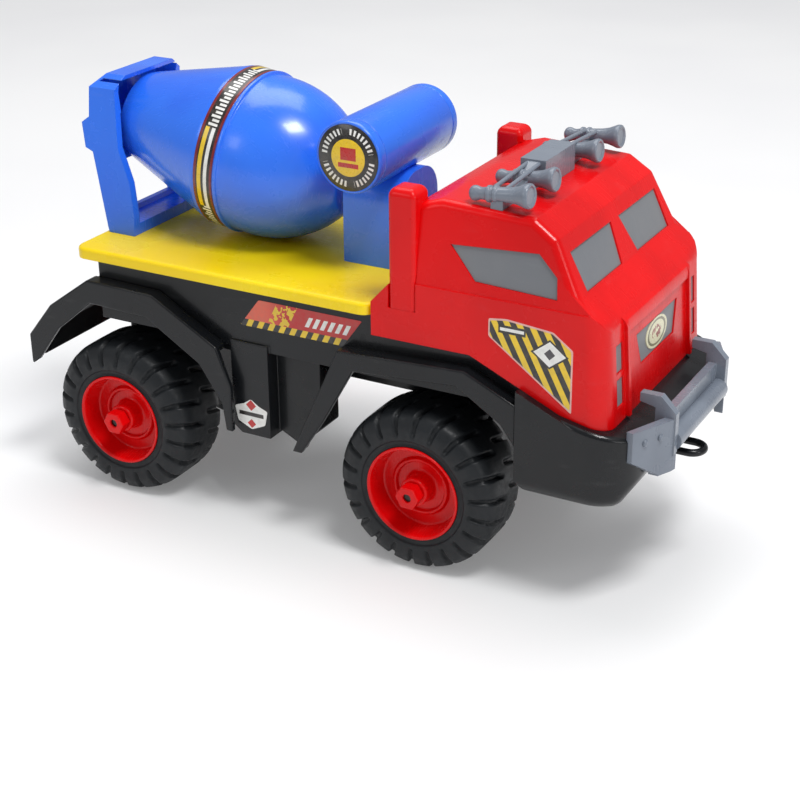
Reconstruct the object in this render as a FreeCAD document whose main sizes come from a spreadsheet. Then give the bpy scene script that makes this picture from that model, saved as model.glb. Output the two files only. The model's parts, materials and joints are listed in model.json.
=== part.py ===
"""Toy cement mixer truck: chassis, cab, deck, turning drum and four turning wheels.

Frame: millimetres, +X towards the front bumper, +Y to the truck's left, +Z up.
The origin is on the ground, under the middle of the truck's outer box.
"""
import FreeCAD, Part
import os
import re
import Sketcher

V = FreeCAD.Vector

DIMENSIONS = {
    # a length that cuts right through any piece
    "through": 600,
    # wheels and axles
    "axle_height": 50, "rear_axle_x": -142, "front_axle_x": 65,
    "tyre_radius": 50, "tyre_width": 46, "tyre_bore": 29, "wheel_centre": 59.5,
    "tyre_shoulder": 6, "tyre_wall": 3.2, "lug_depth": 3.2, "lug_gap": 4.6, "lug_count": 22,
    "lug_slant": 8.4, "lug_root": 3,
    "rim_barrel": 26.4, "rim_web": 3, "rim_web_depth": 13, "rim_flange": 27.6,
    "hub_radius": 8.6, "hub_recess": 2.5, "axle_radius": 2.5, "axle_running_gap": 0.05,
    "ring_inner": 15.5, "ring_outer": 17.5, "ring_height": 2.5,
    "nut_flats": 13, "nut_length": 8, "nut_bore": 2.5, "nut_gap": 0.3, "axle_thread": 4,
    # chassis tub
    "tub_rear": -158, "tub_front": 127, "tub_floor": 112, "tub_wall": 2.5, "tub_half": 70,
    "spine_half": 31, "spine_rear": -156, "beam_floor": 88, "spine_floor": 36,
    "housing_half": 26, "tub_depth": 160, "boss_radius": 8, "boss_reach": 36.2,
    "box_rear": -62, "box_front": -36, "box_floor": 57, "box_half": 72, "box_inner": 42,
    "panel_front": -6, "panel_floor": 52, "panel_half": 62, "panel_tip": -21,
    # mudguards
    "guard_inner": 70, "guard_outer": 80, "guard_lip": 3.5, "guard_sheet": 3, "lip_round": 1.2,
    "rear_tip": -210, "rear_tip_low": 74, "rear_tip_top": 94,
    "rear_knee": -191, "rear_knee_top": 117, "rear_crown": -160, "rear_crown_top": 139,
    "rear_peak": -112, "rear_peak_top": 138, "rear_slope": -67, "rear_slope_top": 113,
    "rear_leg": -58, "rear_leg_low": 60, "arch_tip": -204, "arch_tip_low": 78,
    "arch_knee": -186, "arch_knee_top": 102, "arch_crown": -159, "arch_crown_top": 124,
    "arch_peak": -117, "arch_peak_top": 122.5, "arch_slope": -80, "arch_slope_top": 100,
    "arch_leg": -65, "arch_leg_top": 78, "arch_leg_low": 60, "arch_foot": -62.5,
    "front_foot": -16, "front_foot_low": 57, "front_heel": 16, "front_heel_top": 128,
    "front_peak": 96, "front_peak_top": 132, "front_end_top": 118,
    "well_foot": -10, "well_rise": 5, "well_rise_top": 80, "well_crown": 26, "well_crown_top": 117,
    "well_peak": 91, "well_peak_top": 122, "well_end_top": 93,
    # front valance and tow hook
    "valance_front": 193, "valance_half": 80, "valance_low": 65, "valance_wall": 3,
    "valance_corner": 26, "valance_chin": 16, "valance_nose_top": 106, "valance_slope": 7,
    "valance_round": 3, "chin_round": 10,
    "hook_tip": 210, "hook_height": 75.5, "hook_wire": 2.2, "hook_outer": 9.5,
    # deck
    "deck_rear": -171, "deck_front": 36, "deck_half": 76, "deck_top": 158, "deck_thick": 7,
    "deck_corner": 8, "deck_edge": 2.2, "post_radius": 4, "post_split": 128, "deck_post_y": 56,
    "deck_post_rear": -128, "deck_post_front": 18,
    # cab
    "cab_half": 75, "cab_rear": 36, "cab_floor": 140, "cab_step": 160, "cab_back": 47,
    "cab_back_low": 172, "cab_back_top": 192, "roof_rear": 62, "roof_rear_top": 218.5,
    "roof_high": 76, "roof_top": 222.5, "roof_brow": 130, "roof_brow_top": 220,
    "screen_top": 143.5, "screen_top_height": 211, "screen_low": 158.5, "screen_low_height": 181,
    "bonnet_front": 170.5, "bonnet_height": 171, "nose_top": 174.5, "nose_top_height": 164,
    "nose_low": 178.5, "nose_floor": 110, "cab_bend": 151, "cab_bend_floor": 116, "cab_heel": 97,
    "belt_height": 175, "belt_ledge": 1.2, "roof_half": 68, "roof_margin": 10, "cab_lean": 0.15,
    "cab_corner": 12, "cab_edge": 3, "roof_round": 5, "brow_round": 3,
    "ridge_inner": 45.5, "ridge_width": 3.2, "ridge_proud": 2.4, "sill_drop": 7,
    "cab_wall": 3, "cab_rise": 0.4445,
    "cab_post_y": 44, "cab_post_rear": 70, "cab_post_front": 112,
    # stacks on the cab's rear corners
    "stack_rear": 47, "stack_size": 17, "stack_outer": 75, "stack_foot": 158.5, "stack_top": 227.2,
    "stack_round": 6,
    # inserts: panes, grille and lamps
    "pane_thick": 1.2, "pane_sink": 0.9,
    "screen_gap": 5.5, "screen_outer": 60.5, "screen_upper": 1.5, "screen_lower": 23,
    "screen_slant": 6,
    "side_window_rear": 83, "side_window_front": 134.5, "side_window_low": 5,
    "side_window_high": 25, "side_window_rake": 15.5, "side_window_nose": 11,
    "grille_half": 31, "grille_low": 132, "grille_high": 151, "grille_taper": 6,
    "lamp_inner": 51, "lamp_width": 9, "lamp_low": 119.5, "lamp_tall": 16, "lamp_bar": 3.5,
    # roof horn set
    "horn_rear": 90, "horn_length": 36, "horn_height": 227, "horn_outer_y": 62,
    "horn_inner_y": 30, "horn_tube": 4, "horn_bell": 6.8, "horn_bell_length": 10, "horn_lift": 5,
    "horn_collar": 4.5, "bar_x": 107, "bar_depth": 7, "bar_height": 6, "bar_seat": 220,
    "beacon_depth": 15, "beacon_half": 20, "beacon_top": 236,
    # bumper
    "plate_inner": 38.5, "plate_thick": 5, "plate_rear": 184, "plate_front": 205,
    "plate_low": 86, "plate_top": 124, "plate_bevel": 9, "wing_outer": 70, "wing_thick": 4,
    "wing_top": 112, "wing_low": 90, "wing_drop": 9, "wing_sweep": 14, "beam_front": 199.5,
    "beam_thick": 5, "beam_low": 96, "beam_top": 112, "roll_radius": 5.8, "roll_x": 201.5,
    "roll_height": 97, "bolt_radius": 2, "bolt_head": 1.2, "arm_half": 5, "arm_across": 20,
    # mixer drum, measured along its own sloping axis from the joint of its two shells
    "drum_x": -97.7, "drum_height": 210.9, "drum_tilt": 8.8, "shell_wall": 2,
    "drum_rear_end": -71, "drum_rear_radius": 26.3, "drum_belt_radius": 49.2,
    "drum_belt_width": 14, "drum_shoulder": 51, "drum_shoulder_radius": 48.5,
    "drum_front_end": 80.5, "drum_front_radius": 18.8, "drum_round": 66, "drum_turn": 45,
    "flange_width": 2.2, "flange_height": 0.9, "band_thick": 0.5, "pin_radius": 4, "pin_gap": 0.08,
    "rear_pin_end": -84, "front_pin_end": 98, "pin_root": 10,
    # rear drum frame
    "frame_half": 45, "frame_head_half": 33.5, "frame_wall": 4, "frame_web": 3,
    "frame_foot_rear": -167, "frame_foot_front": -148, "frame_waist_rear": -180,
    "frame_waist": 206, "frame_rib": 5.5, "frame_rib_top": 223, "frame_head_rear": -183,
    "frame_head": 245, "frame_crown_rear": -176, "frame_crown": 252, "frame_crown_front": -162,
    "frame_throat": -161, "frame_throat_height": 210, "frame_knee": -152, "frame_knee_height": 190,
    "frame_roof": 2.6, "frame_bevel": 7, "frame_sill": 7,
    "portal_half": 20, "portal_low": 168, "portal_high": 196,
    # front pedestal and water tank
    "pedestal_rear": -12, "pedestal_front": 27, "pedestal_half": 22, "pedestal_top": 214,
    "pedestal_round": 18, "pedestal_wall": 3, "tank_x": 6.8, "tank_height": 230,
    "tank_radius": 21, "tank_half": 47, "tank_wall": 2, "cap_length": 7, "cap_round": 2.5,
    # self-tapping screws
    "screw_head": 3.2, "screw_head_height": 2, "screw_shank": 1.4, "screw_length": 22,
    "short_screw": 12, "frame_screw_x": -152, "frame_screw_y": 38, "pedestal_screw_y": 14,
}

doc = FreeCAD.newDocument("ToyCementMixer")
sheet = doc.addObject("Spreadsheet::Sheet", "Dims")
for row, (alias, size) in enumerate(DIMENSIONS.items(), start=1):
    sheet.set("A%d" % row, alias)
    sheet.set("B%d" % row, str(size))
    sheet.setAlias("B%d" % row, alias)
doc.recompute()

nodes = []


def cell(text):
    """Write an expression's plain words as references to the sheet's cells."""
    def word(match):
        name = match.group()
        return "Dims." + name if name in DIMENSIONS else name
    return re.sub(r"[a-z][a-z0-9_]*", word, str(text))


def size(text):
    """The number that an expression of the sheet's words gives."""
    return float(sheet.evalExpression(cell(text)))


def bind(thing, path, text):
    thing.setExpression(path, cell(text))


def keep(thing, label):
    """Name a finished piece: its label is the name of its node."""
    thing.Label = label
    nodes.append(thing)
    return thing


# ---------------------------------------------------------------- bodies with sketches

def new_body(name):
    return doc.addObject("PartDesign::Body", name)


def new_sketch(body, name, role, shift="0"):
    """A sketch on one of the body's own origin planes, moved along its normal."""
    sketch = body.newObject("Sketcher::SketchObject", name)
    plane = [item for item in body.Origin.OriginFeatures if item.Role == role][0]
    sketch.AttachmentSupport = [(plane, "")]
    sketch.MapMode = "FlatFace"
    bind(sketch, "AttachmentOffset.Base.z", shift)
    return sketch


def draw_loop(sketch, corners):
    """A closed loop of straight lines through corners given as pairs of expressions."""
    points = [V(size(across), size(up), 0) for across, up in corners]
    first = sketch.GeometryCount
    count = len(points)
    for index in range(count):
        sketch.addGeometry(Part.LineSegment(points[index], points[(index + 1) % count]), False)
    for index in range(count):
        here = first + index
        after = first + (index + 1) % count
        sketch.addConstraint(Sketcher.Constraint("Coincident", here, 2, after, 1))
    for index, (across, up) in enumerate(corners):
        here = first + index
        for kind, text in (("DistanceX", across), ("DistanceY", up)):
            rule = sketch.addConstraint(Sketcher.Constraint(kind, -1, 1, here, 1, size(text)))
            bind(sketch, "Constraints[%d]" % rule, text)


def draw_circle(sketch, across, up, radius):
    circle = Part.Circle(V(size(across), size(up), 0), V(0, 0, 1), size(radius))
    here = sketch.addGeometry(circle, False)
    for kind, text in (("DistanceX", across), ("DistanceY", up)):
        rule = sketch.addConstraint(Sketcher.Constraint(kind, -1, 1, here, 3, size(text)))
        bind(sketch, "Constraints[%d]" % rule, text)
    rule = sketch.addConstraint(Sketcher.Constraint("Radius", here, size(radius)))
    bind(sketch, "Constraints[%d]" % rule, radius)


def rectangle(low, high):
    return [(low[0], low[1]), (high[0], low[1]), (high[0], high[1]), (low[0], high[1])]


def feature(body, kind, name, sketch, length, both_ways=False, backwards=False):
    thing = body.newObject("PartDesign::" + kind, name)
    thing.Profile = sketch
    bind(thing, "Length", length)
    thing.Midplane = both_ways
    thing.Reversed = backwards
    doc.recompute()
    return thing


def pad(body, name, role, corners, length, shift="0", both_ways=False):
    sketch = new_sketch(body, name + "_outline", role, shift)
    draw_loop(sketch, corners)
    return feature(body, "Pad", name, sketch, length, both_ways)


def pocket(body, name, role, loops, length, shift="0", both_ways=False, backwards=False):
    """Cut loops or circles out of the body, and make sure that material went away."""
    before = body.Shape.Volume
    sketch = new_sketch(body, name + "_outline", role, shift)
    for loop in loops:
        if len(loop) == 3 and isinstance(loop[0], str):
            draw_circle(sketch, *loop)
        else:
            draw_loop(sketch, loop)
    thing = feature(body, "Pocket", name, sketch, length, both_ways, backwards)
    if body.Shape.Volume > before - 1:
        raise ValueError(name + " cut nothing")
    return thing


def revolve(body, name, corners, role="XZ_Plane", axis="H_Axis"):
    sketch = new_sketch(body, name + "_outline", role)
    draw_loop(sketch, corners)
    thing = body.newObject("PartDesign::Revolution", name)
    thing.Profile = sketch
    thing.ReferenceAxis = (sketch, [axis])
    thing.Angle = 360
    doc.recompute()
    return thing


def round_edges(body, name, radius, wanted):
    """Fillet the edges of the body's last feature for which wanted(edge) is true."""
    base = body.Tip
    names = ["Edge%d" % (index + 1) for index, edge in enumerate(base.Shape.Edges) if wanted(edge)]
    if not names:
        raise ValueError(name + " found no edges")
    thing = body.newObject("PartDesign::Fillet", name)
    thing.Base = (base, names)
    bind(thing, "Radius", radius)
    doc.recompute()
    return thing


def runs_along(edge, axis):
    """True for a straight edge parallel to the axis 0, 1 or 2."""
    if edge.Curve.TypeId != "Part::GeomLine":
        return False
    direction = edge.Curve.Direction
    return abs(abs(direction[axis]) - 1) < 1e-6


def side_band(body, name, corners, inner, outer, side):
    """Pad an XZ outline from |Y| = inner to outer, on the right (-1) or left (+1) side."""
    shift = inner if side < 0 else "-(%s)" % outer
    return pad(body, name, "XZ_Plane", corners, "(%s) - (%s)" % (outer, inner), shift)


# ---------------------------------------------------------------- primitives and booleans

def place(thing, spot, turn=FreeCAD.Rotation()):
    thing.Placement = FreeCAD.Placement(V(*[size(text) for text in spot]), turn)
    for axis, text in zip("xyz", spot):
        bind(thing, "Placement.Base." + axis, text)
    return thing


TURNS = {
    "x": FreeCAD.Rotation(V(0, 1, 0), 90),
    "y": FreeCAD.Rotation(V(1, 0, 0), -90),
    "z": FreeCAD.Rotation(),
}


def rod(name, axis, spot, radius, length):
    """A cylinder from the spot towards + along the axis x, y or z."""
    thing = doc.addObject("Part::Cylinder", name)
    bind(thing, "Radius", radius)
    bind(thing, "Height", length)
    return place(thing, spot, TURNS[axis])


def block(name, low, high):
    thing = doc.addObject("Part::Box", name)
    for prop, start, end in zip(("Length", "Width", "Height"), low, high):
        bind(thing, prop, "(%s) - (%s)" % (end, start))
    return place(thing, low)


def cone(name, axis, spot, start_radius, end_radius, length):
    thing = doc.addObject("Part::Cone", name)
    bind(thing, "Radius1", start_radius)
    bind(thing, "Radius2", end_radius)
    bind(thing, "Height", length)
    return place(thing, spot, TURNS[axis])


def fuse(name, things):
    joined = doc.addObject("Part::MultiFuse", name)
    joined.Shapes = things
    doc.recompute()
    return joined


def cut(name, base, tool):
    trimmed = doc.addObject("Part::Cut", name)
    trimmed.Base = base
    trimmed.Tool = tool
    doc.recompute()
    if trimmed.Shape.Volume > base.Shape.Volume - 0.5:
        raise ValueError(name + " cut nothing")
    return trimmed


def group(name, things):
    """Separate identical solids that share one node."""
    gathered = doc.addObject("Part::Compound", name)
    gathered.Links = things
    doc.recompute()
    return gathered


def drum_placement(along="0"):
    """The drum's sloping frame: its X runs down and forward along the drum's axis."""
    turn = FreeCAD.Rotation(V(0, 1, 0), size("drum_tilt"))
    start = V(size("drum_x"), 0, size("drum_height"))
    return FreeCAD.Placement(start + turn.multVec(V(size(along), 0, 0)), turn)


def drum_rod(name, start, end, radius):
    """A cylinder on the drum's axis between two stations."""
    thing = doc.addObject("Part::Cylinder", name)
    bind(thing, "Radius", radius)
    bind(thing, "Height", "(%s) - (%s)" % (end, start))
    frame = drum_placement(start)
    thing.Placement = FreeCAD.Placement(frame.Base, frame.Rotation.multiply(TURNS["x"]))
    return thing


SIDES = (("right", -1), ("left", 1))
AXLES = (("Rear", "rear_axle_x"), ("Front", "front_axle_x"))
POST_SPOTS = [
    (along, "%d * deck_post_y" % side)
    for along in ("deck_post_rear", "deck_post_front") for _, side in SIDES
]
CAB_SPOTS = [
    (along, "%d * cab_post_y" % side)
    for along in ("cab_post_rear", "cab_post_front") for _, side in SIDES
]
MIXER_SPOTS = [("frame_screw_x", "%d * frame_screw_y" % side) for _, side in SIDES]
MIXER_SPOTS += [("pedestal_rear + 10", "%d * pedestal_screw_y" % side) for _, side in SIDES]


# ---------------------------------------------------------------- chassis

def chassis_tub():
    """Black tub: wide upper tray, narrow spine that holds the axles, boxes between the wheels."""
    body = new_body("TubBody")
    tray = [
        ("tub_rear", "tub_floor"), ("tub_front", "tub_floor"),
        ("tub_front", "cab_floor - (tub_front - cab_heel) * cab_rise"), ("cab_heel", "cab_floor"),
        ("cab_rear", "cab_floor"), ("cab_rear", "deck_top - deck_thick"),
        ("tub_rear", "deck_top - deck_thick"),
    ]
    pad(body, "Tray", "XZ_Plane", tray, "2 * tub_half", both_ways=True)
    beam = rectangle(("spine_rear", "beam_floor"), ("tub_front", "tub_floor + 5"))
    pad(body, "Spine", "XZ_Plane", beam, "2 * spine_half", both_ways=True)
    for end, along in AXLES:
        low = (along + " - housing_half", "spine_floor")
        high = (along + " + housing_half", "tub_floor + 5")
        pad(body, end + "Housing", "XZ_Plane", rectangle(low, high), "2 * spine_half",
            both_ways=True)
    for name, side in SIDES:
        box = [
            ("box_rear", "box_floor + 4"), ("box_rear + 5", "box_floor"),
            ("box_front", "box_floor"), ("box_front", "tub_floor + 5"),
            ("box_rear", "tub_floor + 5"),
        ]
        side_band(body, "SideBox_" + name, box, "box_inner", "box_half", side)
        panel = [
            ("box_front - 1", "box_floor + 3"), ("panel_tip", "panel_floor"),
            ("panel_front", "panel_floor + 14"), ("panel_front", "tub_floor + 5"),
            ("box_front - 1", "tub_floor + 5"),
        ]
        side_band(body, "SidePanel_" + name, panel, "box_inner", "panel_half", side)
    low = ("spine_rear + tub_wall", "tub_wall - spine_half")
    high = ("tub_front - tub_wall", "spine_half - tub_wall")
    pocket(body, "SpineHollow", "XY_Plane", [rectangle(low, high)], "tub_depth",
           "beam_floor + tub_wall", backwards=True)
    for end, along in AXLES:
        low = (along + " + tub_wall - housing_half", "tub_wall - spine_half")
        high = (along + " - tub_wall + housing_half", "spine_half - tub_wall")
        pocket(body, end + "HousingHollow", "XY_Plane", [rectangle(low, high)], "tub_depth",
               "spine_floor + tub_wall", backwards=True)
    low = ("tub_rear + tub_wall", "tub_wall - tub_half")
    high = ("tub_front - tub_wall", "tub_half - tub_wall")
    pocket(body, "TrayHollow", "XY_Plane", [rectangle(low, high)], "tub_depth",
           "tub_floor + tub_wall", backwards=True)
    for name, side in SIDES:
        low = ("box_rear + tub_wall", "%d * (box_inner + tub_wall)" % side)
        high = ("box_front - tub_wall", "%d * (box_half - tub_wall)" % side)
        pocket(body, "BoxHollow_" + name, "XY_Plane", [rectangle(low, high)],
               "tub_floor - box_floor", "box_floor + 4 + tub_wall", backwards=True)
    for end, along in AXLES:
        for name, side in SIDES:
            sketch = new_sketch(body, "%sBoss_%s_outline" % (end, name), "XZ_Plane",
                                "spine_half - tub_wall" if side < 0 else "-boss_reach")
            draw_circle(sketch, along, "axle_height", "boss_radius")
            feature(body, "Pad", "%sBoss_%s" % (end, name), sketch,
                    "boss_reach - spine_half + tub_wall")
    holes = [(along, "axle_height", "axle_radius") for _, along in AXLES]
    pocket(body, "AxleBores", "XZ_Plane", holes, "3 * boss_reach", both_ways=True)
    posts = []
    bores = []
    for index, (along, across) in enumerate(POST_SPOTS + CAB_SPOTS):
        floor = (along, across, "tub_floor")
        posts.append(rod("TubPost%d" % index, "z", floor, "post_radius", "post_split - tub_floor"))
        bores.append(rod("TubPostBore%d" % index, "z", floor, "screw_shank",
                         "post_split - tub_floor"))
        bores.append(rod("TubPostSink%d" % index, "z", floor, "screw_head", "screw_head_height"))
    joined = fuse("TubWithPosts", [body] + posts)
    keep(cut("TubDrilled", joined, fuse("TubBores", bores)), "chassis_tub")


def outer_edge(edge):
    """True for an edge that lies in the mudguards' outer side plane."""
    box = edge.BoundBox
    return min(abs(box.YMin), abs(box.YMax)) > size("guard_outer") - 0.01


def rear_mudguard(name, side):
    """Polygonal arch over a rear wheel, with a deep outer lip and a flap behind the tub."""
    body = new_body("RearGuard_" + name)
    top = [
        ("rear_tip", "rear_tip_low"), ("rear_tip", "rear_tip_top"), ("rear_knee", "rear_knee_top"),
        ("rear_crown", "rear_crown_top"), ("rear_peak", "rear_peak_top"),
        ("rear_slope", "rear_slope_top"), ("rear_leg", "rear_slope_top - 24"),
        ("rear_leg", "rear_leg_low"),
    ]
    arch = [
        ("arch_foot", "arch_leg_low"), ("arch_leg", "arch_leg_top"),
        ("arch_slope", "arch_slope_top"), ("arch_peak", "arch_peak_top"),
        ("arch_crown", "arch_crown_top"), ("arch_knee", "arch_knee_top"),
        ("arch_tip", "arch_tip_low"),
    ]
    side_band(body, "Lip", top + arch, "guard_outer - guard_lip", "guard_outer", side)
    round_edges(body, "LipEdges", "lip_round", outer_edge)
    under = [
        (across, "%s - guard_sheet - 1" % up) for across, up in reversed(top[1:6])
    ]
    shelf = top[1:6] + under
    side_band(body, "Shelf", shelf, "guard_inner", "guard_outer - guard_lip + 0.5", side)
    keep(body, "mudguard_rear_" + name)


def rear_apron():
    """Bent sheet across the tail, joining the two rear mudguards behind the tub."""
    body = new_body("Apron")
    outline = [
        ("rear_tip", "rear_tip_low + 3"), ("rear_tip", "rear_tip_top"),
        ("rear_knee", "rear_knee_top"), ("tub_rear", "rear_crown_top"),
        ("tub_rear", "rear_crown_top - guard_sheet - 1.5"),
        ("rear_knee + 2", "rear_knee_top - guard_sheet - 1"),
        ("rear_tip + guard_sheet", "rear_tip_top - 1"),
        ("rear_tip + guard_sheet", "rear_tip_low + 3"),
    ]
    pad(body, "Sheet", "XZ_Plane", outline, "2 * guard_inner", both_ways=True)
    keep(body, "rear_apron")


def front_mudguard(name, side):
    """Polygonal arch over a front wheel, from its slanted rear leg to the valance."""
    body = new_body("FrontGuard_" + name)
    top = [
        ("front_foot", "front_foot_low"), ("front_heel", "front_heel_top"),
        ("front_peak", "front_peak_top"), ("tub_front", "front_end_top"),
    ]
    well = [
        ("tub_front", "well_end_top"), ("well_peak + 27", "well_peak_top - 17"),
        ("well_peak", "well_peak_top"), ("well_crown", "well_crown_top"),
        ("well_rise", "well_rise_top"), ("well_foot", "front_foot_low"),
    ]
    side_band(body, "Lip", top + well, "guard_outer - guard_lip", "guard_outer", side)
    round_edges(body, "LipEdges", "lip_round", outer_edge)
    under = [(across, "%s - guard_sheet - 1" % up) for across, up in reversed(top[1:])]
    side_band(body, "Shelf", top[1:] + under, "guard_inner", "guard_outer - guard_lip + 0.5", side)
    leg = [
        ("front_foot", "front_foot_low"), ("front_heel", "front_heel_top"),
        ("front_heel + 4", "front_heel_top - 4"), ("front_foot + 5", "front_foot_low"),
    ]
    side_band(body, "Leg", leg, "guard_inner", "guard_outer - guard_lip + 0.5", side)
    keep(body, "mudguard_front_" + name)


def front_valance():
    """Hollow black nose under the cab, rounded at its two front corners."""
    body = new_body("Valance")
    outline = [
        ("tub_front", "well_end_top - 20"), ("tub_front + valance_slope", "valance_low"),
        ("valance_front - 10", "valance_low"), ("valance_front", "valance_low + valance_chin"),
        ("valance_front", "valance_nose_top"), ("nose_low", "nose_floor"),
        ("cab_bend", "cab_bend_floor"),
        ("tub_front", "cab_floor - (tub_front - cab_heel) * cab_rise"),
    ]
    pad(body, "Nose", "XZ_Plane", outline, "2 * valance_half", both_ways=True)
    front = size("valance_front")

    def upright_corner(edge):
        return runs_along(edge, 2) and abs(edge.BoundBox.XMax - front) < 0.1

    round_edges(body, "NoseCorners", "valance_corner", upright_corner)

    def chin(edge):
        box = edge.BoundBox
        on_face = box.XMax > front - 0.1 and box.ZMax < size("valance_low + valance_chin") + 0.1
        under = box.ZMax < size("valance_low") + 0.1 and box.XMax > front - 30
        return on_face or under

    def rim_edge(edge):
        box = edge.BoundBox
        return box.XMax > front - 0.1 and box.ZMin > size("valance_nose_top") - 0.1

    round_edges(body, "Rim", "valance_round", rim_edge)
    round_edges(body, "Chin", "chin_round", chin)
    low = ("tub_front + valance_wall", "valance_wall - valance_half + 8")
    high = ("valance_front - 18", "valance_half - valance_wall - 8")
    pocket(body, "NoseHollow", "XY_Plane", [rectangle(low, high)], "through",
           "valance_low + valance_wall", backwards=True)
    keep(body, "front_valance")


def tow_hook():
    """Flat wire loop under the bumper, its two legs going back into the valance."""
    ring = doc.addObject("Part::Torus", "HookRing")
    bind(ring, "Radius1", "hook_outer - hook_wire")
    bind(ring, "Radius2", "hook_wire")
    ring.Angle3 = 180
    spot = ("hook_tip - hook_outer", "0", "hook_height")
    place(ring, spot, FreeCAD.Rotation(V(0, 0, 1), -90))
    legs = [
        rod("HookLeg_" + name, "x",
            ("valance_front", "%d * (hook_outer - hook_wire)" % side, "hook_height"),
            "hook_wire", "hook_tip - hook_outer - valance_front")
        for name, side in SIDES
    ]
    keep(fuse("Hook", [ring] + legs), "tow_hook")


def deck():
    """Yellow deck with rounded corners, standing on four posts in the tub."""
    body = new_body("DeckBody")
    outline = rectangle(("deck_rear", "-deck_half"), ("deck_front", "deck_half"))
    pad(body, "Slab", "XY_Plane", outline, "deck_thick", "deck_top - deck_thick")
    round_edges(body, "SlabCorners", "deck_corner", lambda edge: runs_along(edge, 2))
    top = size("deck_top")

    def top_edge(edge):
        return edge.BoundBox.ZMin > top - 0.1

    round_edges(body, "SlabRim", "deck_edge", top_edge)
    posts = []
    bores = []
    for index, (along, across) in enumerate(POST_SPOTS):
        foot = (along, across, "post_split")
        posts.append(rod("DeckPost%d" % index, "z", foot, "post_radius",
                         "deck_top - post_split - 1"))
        bores.append(rod("DeckPostBore%d" % index, "z", foot, "screw_shank",
                         "screw_length + tub_floor - post_split"))
    for index, (along, across) in enumerate(MIXER_SPOTS):
        low = (along, across, "deck_top - deck_thick")
        bores.append(rod("DeckHole%d" % index, "z", low, "screw_shank", "deck_thick"))
    joined = fuse("DeckWithPosts", [body] + posts)
    keep(cut("DeckDrilled", joined, fuse("DeckBores", bores)), "deck")


# ---------------------------------------------------------------- cab

def flat_insert(label, corners, turn, spot, thick="pane_thick"):
    """A thin plate drawn in its own plane, and the longer prism that cuts its recess."""
    result = []
    for name, depth in ((label, thick), (label + "_recess", "pane_thick + 6")):
        body = new_body(name + "_body")
        pad(body, name + "_plate", "XY_Plane", corners, depth)
        body.Placement = FreeCAD.Placement(V(*[size(text) for text in spot]), turn)
        result.append(body)
    doc.recompute()
    keep(result[0], label)
    return result[1]


def slope_turn(down_x, down_z, side):
    """Turn a plate so that its X is truck -Y or +Y, and its Y runs up a slope in X and Z."""
    up = V(down_x, 0, down_z).normalize()
    across = V(0, side, 0)
    out = across.cross(up)
    return FreeCAD.Rotation(across, up, out, "ZXY")


def cab_inserts():
    """Grey panes, grille and lamps: plates sunk a little into the cab's faces."""
    recesses = []
    rise = size("screen_top_height - screen_low_height")
    run = size("screen_top - screen_low")
    lean = slope_turn(run, rise, 1)
    out = lean.multVec(V(0, 0, 1))
    depth = size("pane_sink + pane_thick")
    for name, side in SIDES:
        gap = "%d * screen_gap" % side
        edge = "%d * screen_outer" % side
        inner_low = "%d * (screen_gap + screen_slant)" % side
        pane = [
            (gap, "screen_upper + screen_lower"), (edge, "screen_upper + screen_lower"),
            ("%d * (screen_outer - 1)" % side, "screen_upper"), (inner_low, "screen_upper"),
        ]
        spot = ("screen_low - %f" % (out.x * depth), "0", "screen_low_height - %f" % (out.z * depth))
        recesses.append(flat_insert("windscreen_" + name, pane, lean, spot))
    tilt_y = size("roof_half - cab_half + belt_ledge")
    tilt_z = size("roof_top - belt_height")
    for name, side in SIDES:
        up = V(0, side * tilt_y, tilt_z).normalize()
        along = V(-side, 0, 0)
        face = along.cross(up)
        turn = FreeCAD.Rotation(along, up, face, "ZXY")
        pane = [
            ("%d * side_window_rear" % -side, "side_window_high"),
            ("%d * side_window_front" % -side, "side_window_high + 3"),
            ("%d * (side_window_front + side_window_nose)" % -side, "side_window_high - 8"),
            ("%d * (side_window_front + side_window_nose + 1)" % -side, "side_window_low"),
            ("%d * (side_window_rear + side_window_rake)" % -side, "side_window_low + 2"),
        ]
        spot = ("0", "%d * (cab_half - belt_ledge) - %f" % (side, face.y * depth),
                "belt_height - %f" % (face.z * depth))
        recesses.append(flat_insert("side_window_" + name, pane, turn, spot))
    rise = size("nose_top_height - nose_floor")
    run = size("nose_top - nose_low")
    upright = slope_turn(run, rise, 1)
    out = upright.multVec(V(0, 0, 1))
    spot = ("nose_low - %f" % (out.x * depth), "0", "nose_floor - %f" % (out.z * depth))
    grille = [
        ("-grille_half", "grille_high - nose_floor"), ("grille_half", "grille_high - nose_floor"),
        ("grille_half - grille_taper", "grille_low - nose_floor"),
        ("grille_taper - grille_half", "grille_low - nose_floor"),
    ]
    recesses.append(flat_insert("grille_panel", grille, upright, spot))
    for name, side in SIDES:
        for row, low in (("lower", "lamp_low"), ("upper", "lamp_low + lamp_tall + lamp_bar")):
            lamp = rectangle(
                ("%d * lamp_inner" % side, "%s - nose_floor" % low),
                ("%d * (lamp_inner + lamp_width)" % side, "%s + lamp_tall - nose_floor" % low))
            recesses.append(flat_insert("headlamp_%s_%s" % (row, name), lamp, upright, spot))
    return recesses


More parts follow.
